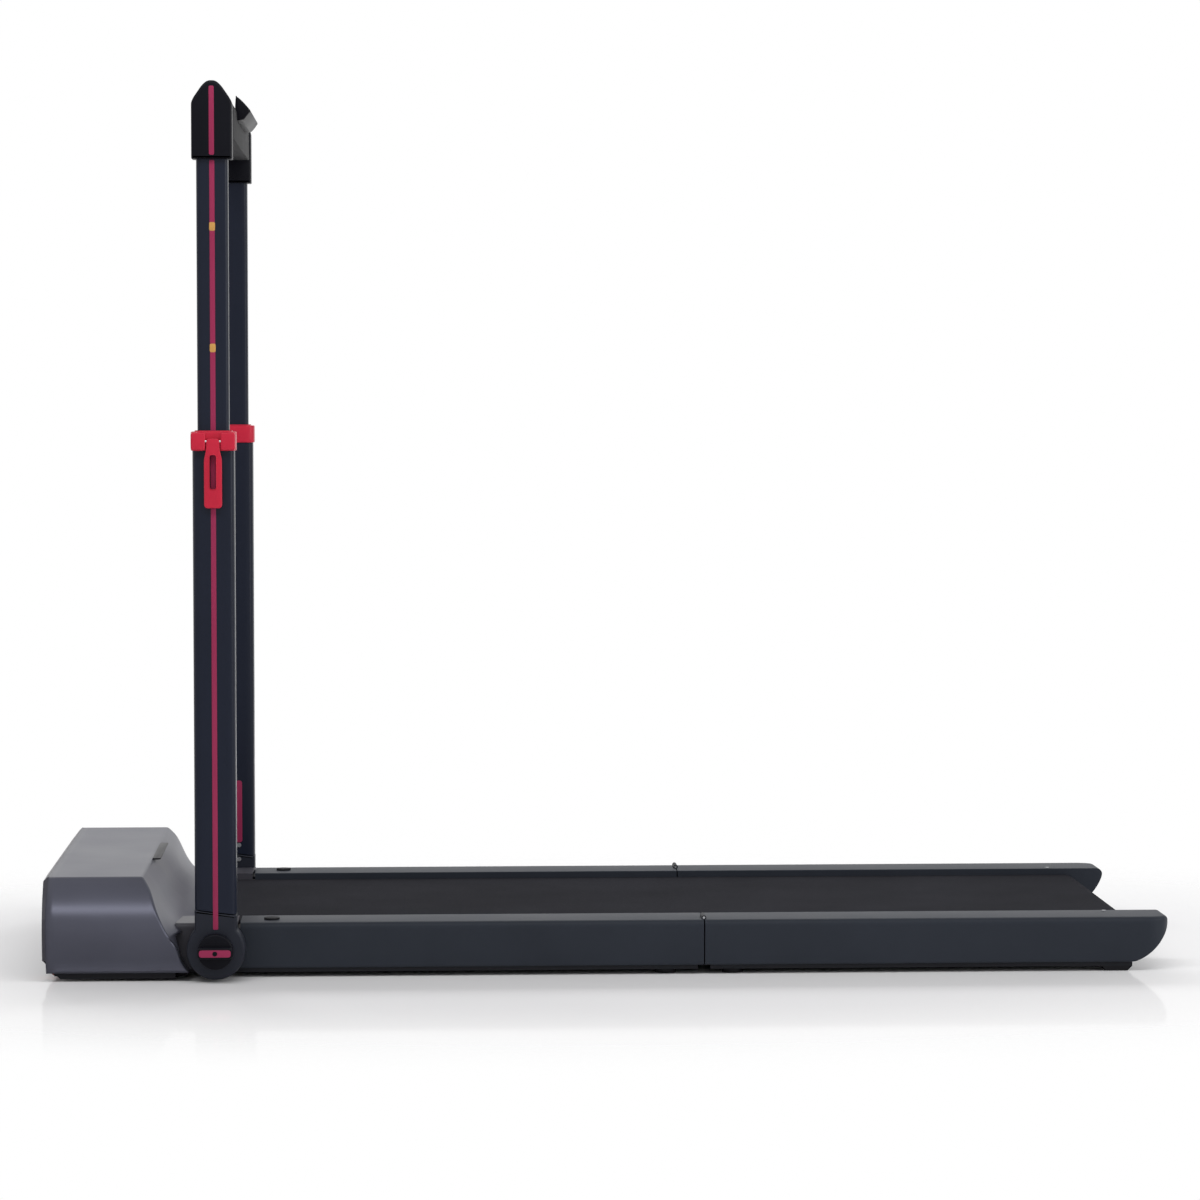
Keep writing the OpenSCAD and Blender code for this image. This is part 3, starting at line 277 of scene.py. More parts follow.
# %% [markdown]
# The palette keeps close to how each part looks in plain light. Nearly everything is a different
# dark: a metallic grey hood, slate rails, blue-black posts, neutral black grips. The red parts are
# what the hand looks for.
# %% The palette
FINISHES = {
    "hood_paint": finish("gunmetal_paint", (0.080, 0.082, 0.106), 0.33, metal=0.5, coat=0.0, specular=0.05,
                         grain=0.05, grain_size=0.5, drift=0.05),
    "hood_plastic": finish("graphite_plastic", (0.052, 0.051, 0.062), 0.36, grain=0.12, coat=0.02),
    "pan_plastic": finish("pan_plastic", (0.010, 0.010, 0.013), 0.55, grain=0.25, grain_size=0.7),
    "smoked_window": finish("smoked_window", (0.008, 0.008, 0.011), 0.34, drift=0.02, specular=0.05),
    "circuit_board": finish("circuit_board", (0.015, 0.075, 0.030), 0.4),
    "motor_black": finish("motor_enamel", (0.030, 0.032, 0.036), 0.42, metal=0.3, grain=0.1),
    "frame_black": finish("powder_coat", (0.013, 0.014, 0.018), 0.5, grain=0.3, grain_size=0.6),
    "board_wood": finish("waxed_board", (0.060, 0.042, 0.030), 0.5, grain=0.3, drift=0.35,
                         stretch=(0.05, 1, 1), grain_size=0.8),
    "rail_grey": finish("slate_plastic", (0.024, 0.028, 0.037), 0.45, grain=0.16, grain_size=0.45,
                        drift=0.08, specular=0.08),
    "steel": finish("turned_steel", (0.42, 0.43, 0.45), 0.28, metal=1.0, grain=0.12,
                    stretch=(1, 8, 1)),
    "alloy": finish("machined_alloy", (0.50, 0.51, 0.53), 0.35, metal=1.0, grain=0.1),
    "rubber_black": finish("foot_rubber", (0.010, 0.010, 0.012), 0.7, grain=0.35, grain_size=0.6),
    "wheel_plastic": finish("wheel_nylon", (0.300, 0.085, 0.060), 0.45, grain=0.1),
    "tube_navy": finish("night_blue_coat", (0.0095, 0.0125, 0.0240), 0.30, metal=0.0, grain=0.14,
                        grain_size=0.5, drift=0.06),
    "foot_black": finish("foot_casting", (0.015, 0.017, 0.025), 0.46, metal=0.0, grain=0.2,
                         grain_size=0.7),
    "strip_red": finish("crimson_strip", (0.290, 0.026, 0.080), 0.38, grain=0.05, drift=0.06),
    "clamp_red": finish("clamp_red", (0.520, 0.018, 0.045), 0.32, grain=0.06, drift=0.06, coat=0.04),
    "mark_yellow": finish("amber_print", (0.560, 0.300, 0.085), 0.5, drift=0.04),
    "grip_black": finish("soft_grip", (0.0055, 0.0055, 0.0070), 0.62, grain=0.5, grain_size=0.9),
    "gloss_black": finish("satin_black", (0.0050, 0.0052, 0.0080), 0.38, grain=0.08, specular=0.07),
}


def belt_finish():
    """Black rubber with the fine diamond relief of a walking belt and a pale wear drift."""
    material = finish("belt_rubber", (0.0230, 0.0232, 0.0275), 0.8, drift=0.16, specular=0.01)
    tree = material.node_tree
    skin = next(n for n in tree.nodes if n.type == "BSDF_PRINCIPLED")
    place = next(n for n in tree.nodes if n.type == "TEX_COORD")
    waves = []
    for turn in (math.radians(32), math.radians(-32)):
        turned = node(tree, "ShaderNodeMapping", Rotation=(0, 0, turn))
        wave = node(tree, "ShaderNodeTexWave", Scale=95.0, Distortion=0.0)
        tree.links.new(place.outputs["Object"], turned.inputs["Vector"])
        tree.links.new(turned.outputs[0], wave.inputs["Vector"])
        waves.append(wave)
    both = tree.nodes.new("ShaderNodeMath")
    both.operation = "MINIMUM"
    for socket, wave in enumerate(waves):
        tree.links.new(wave.outputs["Fac"], both.inputs[socket])
    bump = node(tree, "ShaderNodeBump", Strength=0.6, Distance=0.0004)
    tree.links.new(both.outputs[0], bump.inputs["Height"])
    tree.links.new(bump.outputs[0], skin.inputs["Normal"])
    return material


FINISHES["belt_rubber"] = belt_finish()
for entry in frame["record"]["subparts"]:
    part = frame["nodes"][entry["node"]]
    for place in part.material_slots:
        place.material = FINISHES[entry["material_slot"]]
print(len(FINISHES), "finishes on", len(frame["nodes"]), "parts")

# %% [markdown]
# ## Helpers that make surfaces
# A piece is rows of points. `surface` joins each row to the next; `slab` is an outline carried
# straight along one axis with rounded ends, which covers levers, caps, knobs and collars. Corners
# of an outline are rounded first, because a moulded part has no dead sharp edge.
# %% Surface helpers
def surface(name, rows, body, slot, replaces=(), ring=True, loop=False, ends=True, smooth=32):
    """Rows of points (r, n, 3) joined into quads. ring joins each row's last point to its first,
    loop joins the last row to the first, and ends closes the first and last rows."""
    rows = np.asarray(rows, float)
    count, width = rows.shape[:2]
    steps, across = (count if loop else count - 1), (width if ring else width - 1)
    r, c = np.meshgrid(np.arange(steps), np.arange(across), indexing="ij")
    r2, c2 = (r + 1) % count, (c + 1) % width
    quads = np.stack([r * width + c, r * width + c2, r2 * width + c2, r2 * width + c], -1)
    faces = quads.reshape(-1, 4).tolist()
    if ends and not loop:
        faces += [list(range(width))[::-1], [(count - 1) * width + i for i in range(width)]]
    mesh = bpy.data.meshes.new(name)
    mesh.from_pydata(rows.reshape(-1, 3) * MM, [], faces)
    mesh.validate()
    turn_outward(mesh)
    mesh.polygons.foreach_set("use_smooth", np.ones(len(mesh.polygons), bool))
    mesh.set_sharp_from_angle(angle=math.radians(smooth))
    mesh.materials.append(FINISHES[slot])
    made = bpy.data.objects.new(name, mesh)
    scene.collection.objects.link(made)
    if replaces:
        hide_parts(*replaces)
    if body:
        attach(made, body)
    return made


def turn_outward(mesh):
    """Recalculates the face directions of a closed mesh so that they point outwards."""
    import bmesh
    work = bmesh.new()
    work.from_mesh(mesh)
    bmesh.ops.recalc_face_normals(work, faces=work.faces)
    work.to_mesh(mesh)
    work.free()


def softened(corners, radius, steps=6):
    """A closed outline with each corner replaced by a quadratic curve that leaves its two edges at
    the corner's radius, or at 0.45 of a short edge: (1-t)^2 a + 2t(1-t) corner + t^2 b."""
    p = np.asarray(corners, float)
    radii = np.broadcast_to(np.asarray(radius, float), len(p))
    before, after = np.roll(p, 1, 0) - p, np.roll(p, -1, 0) - p
    long_before = np.linalg.norm(before, axis=1)
    long_after = np.linalg.norm(after, axis=1)
    cut = np.minimum(radii, 0.45 * np.minimum(long_before, long_after))
    a = p + before * (cut / long_before)[:, None]
    b = p + after * (cut / long_after)[:, None]
    t = np.linspace(0, 1, steps)[None, :, None]
    curve = (1 - t) ** 2 * a[:, None] + 2 * t * (1 - t) * p[:, None] + t ** 2 * b[:, None]
    return curve.reshape(-1, 2)


def circle(radius, count=64, centre=(0, 0)):
    """Evenly spaced points of a circle."""
    a = np.linspace(0, 2 * np.pi, count, endpoint=False)
    return np.stack([centre[0] + radius * np.cos(a), centre[1] + radius * np.sin(a)], -1)


def evened(outline, count):
    """The same closed outline with its points evenly spaced along its length."""
    closed = np.vstack([outline, outline[:1]])
    along = np.concatenate([[0], np.cumsum(np.linalg.norm(np.diff(closed, axis=0), axis=1))])
    at = np.linspace(0, along[-1], count, endpoint=False)
    return np.stack([np.interp(at, along, closed[:, k]) for k in (0, 1)], -1)


def drawn_in(outline, amount):
    """The outline moved inwards by amount along its own normals; a negative amount grows it."""
    ahead = np.roll(outline, -1, 0) - np.roll(outline, 1, 0)
    length = np.maximum(np.linalg.norm(ahead, axis=1, keepdims=True), 1e-9)
    normal = np.stack([ahead[:, 1], -ahead[:, 0]], -1) / length
    x, y = outline[:, 0], outline[:, 1]
    turn = np.sign(np.sum(x * np.roll(y, -1) - np.roll(x, -1) * y))
    return outline - normal * amount * turn


AXES = {"x": (2, 0, 1), "y": (0, 2, 1), "z": (0, 1, 2)}


def placed(outline, level, axis):
    """Outline points (n, 2) and a level along the axis, as points in space."""
    flat = np.column_stack([outline, np.full(len(outline), level)])
    return flat[:, AXES[axis]]


def rounded_rows(outline, low, high, edge, axis, steps=5):
    """Rows of an outline carried from low to high, drawn in by a quarter circle at both ends."""
    a = np.linspace(0, np.pi / 2, steps)
    ins, outs = edge * (1 - np.sin(a)), edge * (1 - np.cos(a))
    rows = [placed(drawn_in(outline, i), low + o, axis) for i, o in zip(ins, outs)]
    rows += [placed(drawn_in(outline, i), high - o, axis) for i, o in zip(ins[::-1], outs[::-1])]
    return np.array(rows)


def slab(name, outline, low, high, edge, axis, body, slot, replaces=(), hole=None, smooth=32):
    """A rounded slab; with a hole, its rows run up the outside and back down the inside."""
    if hole is None:
        return surface(name, rounded_rows(outline, low, high, edge, axis), body, slot, replaces,
                       smooth=smooth)
    count = 120
    outer = rounded_rows(evened(outline, count), low, high, edge, axis)
    inner = rounded_rows(evened(hole, count), low, high, -edge, axis)[::-1]
    return surface(name, np.concatenate([outer, inner]), body, slot, replaces, loop=True,
                   ends=False, smooth=smooth)


def sides(make):
    """Makes a piece for the left (-1) and the right (+1) side."""
    return [make(side, word) for side, word in ((-1, "left"), (1, "right"))]


def box_mm(name):
    """A part's lowest and highest corner in millimetres."""
    return tuple(np.array(corner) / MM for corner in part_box(name))


print("helpers ready")

# %% [markdown]
# ## Stations shared by the pieces
# Everything is placed from the frame's own boxes: the deck's levels from the rails, the post's
# place from the lower tube, the pivot from the joint.
# %% Stations
JOINTS = {j["name"]: j for j in frame["joints"]}
rail_lo, rail_hi = box_mm("front_rail_right")
tail_lo, tail_hi = box_mm("rear_rail_right")
tube_lo, tube_hi = box_mm("lower_tube_right")
hood_lo, hood_hi = box_mm("hood_shell")
belt_lo, belt_hi = box_mm("belt_front")
loop_lo, loop_hi = box_mm("belt_rear")
FOLD_X = JOINTS["deck_fold"]["pos_m"][0] / MM
PIVOT_X, PIVOT_Z = (JOINTS["handle_fold"]["pos_m"][i] / MM for i in (0, 2))
RAIL_TOP, RAIL_LOW, RAIL_IN, RAIL_OUT = rail_hi[2], rail_lo[2], rail_lo[1], rail_hi[1]
POST_IN, POST_OUT = tube_lo[1], tube_hi[1]
POST_MID = (POST_IN + POST_OUT) / 2
TOP, TAIL_X, FRONT_X = cad_high[2] / MM, cad_high[0] / MM, cad_low[0] / MM
print("pivot", PIVOT_X, PIVOT_Z, "fold", FOLD_X, "rail", RAIL_IN, RAIL_OUT, RAIL_TOP)

# %% [markdown]
# ## The hood
# The real cover is one painted moulding: a flat top, flanks that swell out below it and tuck in
# again, and a hollow slope that runs down to the belt. A subdivision cage would round the long top
# edge away, so the shape is written as two sheets that share the crease: the flank's section
# carried along the machine, and the slope's outline carried across it. A bevel along the shared
# edge then catches the light as the real one does, and Solidify gives the wall.
# %% Hood outlines
HOOD_TOP, HOOD_LOW, BELLY_Z = hood_hi[2], hood_lo[2], 62.0
HOOD_HALF, TOP_HALF, LOW_HALF = hood_hi[1], 283.0, hood_hi[1] - 13
FASCIA_X = hood_lo[0]
HOOD_BACK = FASCIA_X + 120
LIP_X, LIP_Z = HOOD_BACK + 66, belt_hi[2] + 3.6


def flank(z):
    """Half width at height z: (z - belly) to the power 2.2 above the belly, squared below it."""
    above = np.clip((z - BELLY_Z) / (HOOD_TOP - BELLY_Z), 0, 1)
    below = np.clip((BELLY_Z - z) / (BELLY_Z - HOOD_LOW), 0, 1)
    return HOOD_HALF - (HOOD_HALF - TOP_HALF) * above ** 2.2 - (HOOD_HALF - LOW_HALF) * below ** 2


def crease(t):
    """The edge between flank and slope, from the top's corner (t=0) down to the post's foot (t=1):
    x and z through a few stations, joined by a smooth curve."""
    stations = np.array([0, 0.13, 0.36, 0.58, 0.74, 0.88, 1.0])
    x = HOOD_BACK + np.array([0, 9, 21, 33, 45, 51, 60])
    z = np.array([HOOD_TOP, HOOD_TOP - 12, HOOD_TOP - 42, HOOD_TOP - 68, 44, 25, HOOD_LOW])
    return curve_through(stations, x, t), curve_through(stations, z, t)


def curve_through(stations, values, t):
    """A cubic curve through the stations: Hermite spans whose slopes are finite differences."""
    slope = np.gradient(values, stations)
    i = np.clip(np.searchsorted(stations, t, side="right") - 1, 0, len(stations) - 2)
    wide = stations[i + 1] - stations[i]
    u = (t - stations[i]) / wide
    return ((2 * u**3 - 3 * u**2 + 1) * values[i] + (u**3 - 2 * u**2 + u) * wide * slope[i]
            + (3 * u**2 - 2 * u**3) * values[i + 1] + (u**3 - u**2) * wide * slope[i + 1])


def hood():
    """Flanks and top: section points over the crease's own heights, carried from the fascia to
    the crease. Slope: for each crease height, a row across that leaves the crease and settles on
    the middle outline as |w| to the power 5 fades."""
    t = np.linspace(0, 1, 33)
    cx, cz = crease(t)
    half = flank(cz)
    across = np.linspace(-1, 1, 41)
    section_y = np.concatenate([-half[::-1], across[1:-1] * half[0], half])
    section_z = np.concatenate([cz[::-1], np.full(len(across) - 2, HOOD_TOP), cz])
    edge_x = np.concatenate([cx[::-1], np.full(len(across) - 2, HOOD_BACK), cx])
    u = np.linspace(0, 1, 13)[:, None]
    skin = np.stack([FASCIA_X + (edge_x - FASCIA_X) * u, np.broadcast_to(section_y, (13, len(edge_x))),
                     np.broadcast_to(section_z, (13, len(edge_x)))], -1)
    last = np.searchsorted(t, 0.62)
    s = np.linspace(0, 1, last + 1)
    mid_x = curve_through(np.array([0, 0.22, 0.5, 0.75, 1.0]),
                          np.array([HOOD_BACK, HOOD_BACK + 13, HOOD_BACK + 26, HOOD_BACK + 42, LIP_X]), s)
    mid_z = curve_through(np.array([0, 0.22, 0.5, 0.75, 1.0]),
                          np.array([HOOD_TOP, HOOD_TOP - 17, HOOD_TOP - 40, HOOD_TOP - 55, LIP_Z]), s)
    fade = np.abs(across)[None, :] ** 5
    slope = np.stack([mid_x[:, None] * (1 - fade) + cx[:last + 1, None] * fade,
                      across[None, :] * half[:last + 1, None],
                      mid_z[:, None] * (1 - fade) + cz[:last + 1, None] * fade], -1)
    return skin, slope, (cx, cz, half, last)


def sheet_quads(rows, width, first):
    """The quads of an open grid of points whose numbering starts at first."""
    r, c = np.meshgrid(np.arange(rows - 1), np.arange(width - 1), indexing="ij")
    a = first + r * width + c
    return np.stack([a, a + 1, a + width + 1, a + width], -1).reshape(-1, 4)


def joined(name, sheets, body, slot, replaces, wall, bevel, smooth=40):
    """Several open sheets (rows, points, 3) as one mesh. Points that fall on the same twentieth of
    a millimetre are welded, then the crease is bevelled and the sheet given a wall."""
    points = np.concatenate([sheet.reshape(-1, 3) for sheet in sheets])
    starts = np.cumsum([0] + [sheet.shape[0] * sheet.shape[1] for sheet in sheets])
    quads = np.concatenate([sheet_quads(*sheet.shape[:2], start)
                            for sheet, start in zip(sheets, starts)])
    spots, index, back = np.unique(np.round(points * 20).astype(int), axis=0,
                                   return_index=True, return_inverse=True)
    quads = back.reshape(-1)[quads]
    whole = np.all(quads != np.roll(quads, 1, axis=1), axis=1)
    mesh = bpy.data.meshes.new(name)
    mesh.from_pydata(points[index] * MM, [], quads[whole].tolist())
    mesh.validate()
    turn_outward(mesh)
    mesh.polygons.foreach_set("use_smooth", np.ones(len(mesh.polygons), bool))
    mesh.set_sharp_from_angle(angle=math.radians(smooth))
    mesh.materials.append(FINISHES[slot])
    made = bpy.data.objects.new(name, mesh)
    scene.collection.objects.link(made)
    if bevel:
        round_over = made.modifiers.new("round_over", "BEVEL")
        round_over.width = bevel * MM
        round_over.segments = 4
        round_over.angle_limit = math.radians(24)
        round_over.harden_normals = True
    shell = made.modifiers.new("wall", "SOLIDIFY")
    shell.thickness = wall * MM
    shell.offset = -1
    if replaces:
        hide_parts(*replaces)
    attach(made, body)
    return made


# %% Hood and its cheeks
skin, slope, (crease_x, crease_z, crease_half, slope_last) = hood()
CHEEK_IN = POST_IN - 1.5
reach = np.linspace(0, 1, 5)[:, None]
cheeks = [np.stack([np.broadcast_to(crease_x[slope_last:], (5, len(crease_x) - slope_last)),
                    side * (crease_half[slope_last:] + (CHEEK_IN - crease_half[slope_last:]) * reach),
                    np.broadcast_to(crease_z[slope_last:], (5, len(crease_x) - slope_last))], -1)
          for side in (-1, 1)]
hood_cover = joined("hood_cover", [skin, slope] + cheeks, "base", "hood_paint",
                    ("hood_shell", "display_window"), 2.6, 3.2)
print("hood", len(hood_cover.data.polygons), "faces")
pane_lo, pane_hi = box_mm("display_window")
pane = softened([(pane_hi[0], pane_lo[1]), (pane_hi[0], pane_hi[1]),
                 (pane_lo[0], pane_hi[1]), (pane_lo[0], pane_lo[1])], 6)
slab("status_window", pane, HOOD_TOP - 1.5, HOOD_TOP + 0.3, 0.3, "z", "base", "smoked_window")

# %% [markdown]
# ## Side rails
# Each rail cover is one section, a box with a round outer top edge, carried along the machine. At
# the tail the lower edge rises along a quarter ellipse, which leaves the nose leaning out over the
# floor, and the outer side draws in along a plan corner.
# %% Rails
NOSE, CROWN, PLAN_ROUND, EDGE_ROUND = 49.0, 8.0, 30.0, 6.0


def rail_rows(xs, side):
    """Rail section at each x. The lower edge rises as 1 - (1 - n^1.5)^(1/1.5) over the nose, where n runs
    0 to 1, the top falls over a short crown, and the outer side draws in as the plan circle does."""
    inner, outer = RAIL_IN, RAIL_OUT
    base = softened([(outer, RAIL_LOW), (outer, RAIL_TOP), (inner, RAIL_TOP), (inner, RAIL_LOW)],
                    [3.0, EDGE_ROUND * 1.5, 1.2, 1.0], 8)
    n = np.clip((xs - (TAIL_X - NOSE)) / NOSE, 0, 0.9995)
    m = np.clip((xs - (TAIL_X - CROWN)) / CROWN, 0, 0.9995)
    p = np.clip((xs - (TAIL_X - PLAN_ROUND)) / PLAN_ROUND, 0, 0.9995)
    draw = PLAN_ROUND * (1 - np.sqrt(1 - p ** 2))
    tip = RAIL_TOP - CROWN
    under = tip - (tip - RAIL_LOW) * (1 - n ** 1.5) ** (1 / 1.5)
    over = tip + CROWN * np.sqrt(1 - m ** 2)
    part = (base[None, :, 1] - RAIL_LOW) / (RAIL_TOP - RAIL_LOW)
    z = under[:, None] + part * (over - under)[:, None]
    share = (base[None, :, 0] - inner) / (outer - inner)
    y = base[None, :, 0] - share * draw[:, None]
    x = np.broadcast_to(xs[:, None], z.shape)
    return np.stack([x, side * y, z], -1)


def tail_stations(first, last):
    """Even stations along the straight part and cosine-spaced ones round the nose."""
    a = np.linspace(0, np.pi / 2, 26)
    crown = np.linspace(0, np.pi / 2, 8)[:-1]
    xs = np.concatenate([last - NOSE + NOSE * np.sin(a), last - CROWN + CROWN * np.sin(crown)])
    return np.concatenate([np.linspace(first, last - NOSE - 2, 8), np.unique(xs.round(4))])


sides(lambda s, w: surface(f"front_rail_cover_{w}",
      rail_rows(np.linspace(rail_lo[0] + 3, rail_hi[0], 8), s), "base", "rail_grey",
      (f"front_rail_{w}",), smooth=40))
sides(lambda s, w: surface(f"rear_rail_cover_{w}", rail_rows(tail_stations(tail_lo[0], TAIL_X), s),
      "rear_deck", "rail_grey", (f"rear_rail_{w}",), smooth=40))

# %% [markdown]
# ## The walking belt
# A belt is one closed band, so it is one piece here: a thin section run round a stadium path. It
# spans the two halves of the deck, and the stations are closest together where it has to bend.
# %% Belt
ROLLER_Z, LOOP_R = (belt_hi[2] + belt_lo[2]) / 2, (belt_hi[2] - belt_lo[2]) / 2
BELT_T, BELT_HALF = 2.0, belt_hi[1]


def belt():
    """Stadium path: straight run, half circle, straight run, half circle. The band's section is a
    rectangle of four points set off along the path's normal."""
    x0, x1 = belt_lo[0] + LOOP_R, loop_hi[0] - LOOP_R
    runs = np.concatenate([np.linspace(x0, FOLD_X - 25, 12), np.linspace(FOLD_X - 22, FOLD_X + 22, 40),
                           np.linspace(FOLD_X + 25, x1, 12)])
    a = np.linspace(np.pi / 2, -np.pi / 2, 22)[1:-1]
    flat = np.ones_like(runs)
    cx = np.concatenate([runs, np.full(20, x1), runs[::-1], np.full(20, x0)])
    nx = np.concatenate([0 * runs, np.cos(a), 0 * runs, -np.cos(a)])
    nz = np.concatenate([flat, np.sin(a), -flat, -np.sin(a)])
    across = np.linspace(-BELT_HALF, BELT_HALF, 9)
    y = np.concatenate([across, across[::-1]])
    depth = np.concatenate([np.full(9, LOOP_R), np.full(9, LOOP_R - BELT_T)])
    return np.stack([cx[:, None] + nx[:, None] * depth, np.broadcast_to(y, (len(cx), 18)),
                     ROLLER_Z + nz[:, None] * depth], -1)


walking_belt = surface("walking_belt", belt(), None, "belt_rubber", ("belt_front", "belt_rear"),
                       loop=True, ends=False)
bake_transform(walking_belt)

# %% [markdown]
# ## Posts
# The lower post is a flattened tube in a cast foot, with a round eye on the pivot. The two meet on
# a slanting seam. The upper tube slides inside, and a red strip runs up the outside of both.
# %% Posts
SEAM_FRONT, SEAM_REAR, COLLAR_LOW, COLLAR_TOP, EYE = 93.0, 86.0, 672.0, 696.0, 37.0
upper_lo, upper_hi = box_mm("upper_tubes")


def oblong(width, depth, radius, steps=10):
    """A rectangle with round corners about the origin."""
    w, d = width / 2, depth / 2
    return softened([(w, -d), (w, d), (-w, d), (-w, -d)], radius * 1.6, steps)


def post_rows(width, depth, radius, low, high, side, slant=0.0):
    """An oblong carried up from low to high; the lowest row slants by slant across its width."""
    ring = oblong(width, depth, radius)
    z = np.concatenate([[low], np.linspace(low + 12, high, 6)])
    tilt = np.concatenate([[1.0], np.zeros(6)])
    x = PIVOT_X + np.broadcast_to(ring[:, 0], (7, len(ring)))
    y = side * (POST_MID + np.broadcast_to(ring[:, 1], (7, len(ring))))
    return np.stack([x, y, z[:, None] - slant * tilt[:, None] * ring[None, :, 0] / width], -1)


def foot(side, word):
    """The eye's arc from one flank of the post round the bottom to the other, and the seam above
    it, carried through the post's depth with soft edges."""
    half = (tube_hi[0] - tube_lo[0]) / 2
    start = math.acos(half / EYE)
    a = np.linspace(start, -np.pi - start, 60)
    arc_x, arc_z = PIVOT_X + EYE * np.cos(a), PIVOT_Z + EYE * np.sin(a)
    seam = np.array([(PIVOT_X - half, SEAM_FRONT - 0.8), (PIVOT_X + half, SEAM_REAR - 0.8)])
    outline = np.vstack([np.column_stack([arc_x, arc_z]), seam])
    outline = evened(outline, 160)
    low, high = sorted((side * POST_IN, side * POST_OUT))
    return surface(f"post_foot_{word}", rounded_rows(outline, low, high, 3.5, "y"), "uprights",
                   "foot_black", ("post_feet",), smooth=50)


sides(foot)
sides(lambda s, w: surface(f"lower_post_{w}", post_rows(53, 36, 7, 89.5, COLLAR_LOW, s, 7.0),
      "uprights", "tube_navy", (f"lower_tube_{w}",)))
sides(lambda s, w: surface(f"upper_post_{w}", post_rows(40, 26, 5, upper_lo[2], upper_hi[2], s),
      "handlebar", "tube_navy", ("upper_tubes",)))


def strip(name, low, high, y, width, side, body, slot, replaces=(), proud=0.35, top=True):
    """A thin bar with rounded long edges, let into the outer face."""
    outline = softened([(PIVOT_X + width / 2, low), (PIVOT_X + width / 2, high),
                        (PIVOT_X - width / 2, high), (PIVOT_X - width / 2, low)], width * 0.3)
    a, b = sorted((side * (y - 0.5), side * (y + proud)))
    return surface(name, rounded_rows(outline, a, b, 0.2, "y", 3), body, slot, replaces)


for side, word in ((-1, "left"), (1, "right")):
    strip(f"lower_strip_{word}", 67, COLLAR_LOW - 0.5, POST_OUT, 6.5, side, "uprights", "strip_red",
          ("lower_strips",))
    pill = softened([(PIVOT_X + 9, 105), (PIVOT_X + 9, 193), (PIVOT_X, 193), (PIVOT_X, 105)], 4.4)
    near, deep = sorted((side * (POST_IN - 0.5), side * (POST_IN + 0.5)))
    slab(f"inner_strip_{word}", pill, near, deep, 0.2, "y", "uprights", "strip_red")
    strip(f"upper_strip_{word}", upper_lo[2] + 2, TOP - 99, POST_MID + 13, 6.5, side, "handlebar",
          "strip_red", ("upper_strips",))
    for index, level in enumerate((TOP - 182, TOP - 334)):
        strip(f"height_mark_{index}_{word}", level - 5.5, level + 5.5, POST_MID + 13, 7.4, side,
              "handlebar", "mark_yellow", ("height_marks",), proud=0.37)

# %% [markdown]
# ## Clamps, levers and knobs
# A collar caps each lower post. Two lobes hold a pin, and a slotted lever hangs from it. The knob
# at the pivot has a round body, a grip bar across it, a red inlay and one dark screw.
# %% Clamps
PIN_Y = POST_OUT + 5.9
LEVER_TOP = COLLAR_TOP - 8.5


def collar(side, word):
    outline = oblong(57, 40, 8) + [PIVOT_X, side * POST_MID]
    hole = oblong(47, 29, 6) + [PIVOT_X, side * POST_MID]
    made = slab(f"collar_{word}", outline, COLLAR_LOW, COLLAR_TOP, 1.4, "z", "uprights", "clamp_red",
                ("clamp_collars",), hole=hole)
    for index, shift in enumerate((-18.6, 18.6)):
        x = PIVOT_X + shift
        low, high = sorted((side * (POST_OUT - 4), side * (POST_OUT + 8)))
        ears = softened([(x + 9.3, COLLAR_LOW + 0.5), (x + 9.3, COLLAR_TOP - 0.5),
                         (x - 9.3, COLLAR_TOP - 0.5), (x - 9.3, COLLAR_LOW + 0.5)], 4)
        slab(f"collar_lobe_{word}_{index}", ears, low, high, 2.2, "y", "uprights", "clamp_red")
    return made


def lever(side, word):
    w0, w1, low = 8.5, 11.25, COLLAR_TOP - 12 - 84
    outline = softened([(PIVOT_X + w1, low), (PIVOT_X + w1, LEVER_TOP - 26), (PIVOT_X + w0, LEVER_TOP - 15),
                        (PIVOT_X + w0, LEVER_TOP), (PIVOT_X - w0, LEVER_TOP),
                        (PIVOT_X - w0, LEVER_TOP - 15), (PIVOT_X - w1, LEVER_TOP - 26),
                        (PIVOT_X - w1, low)], 5)
    slot_top = COLLAR_TOP - 29
    hole = softened([(PIVOT_X + 4, slot_top - 43), (PIVOT_X + 4, slot_top), (PIVOT_X - 4, slot_top),
                     (PIVOT_X - 4, slot_top - 43)], 3)
    low_y, high_y = sorted((side * (PIN_Y - 3.5), side * (PIN_Y + 2.0)))
    return slab(f"lever_{word}", outline, low_y, high_y, 1.3, "y", f"lever_{word}", "clamp_red",
                (f"clamp_lever_{word}",), hole=hole)


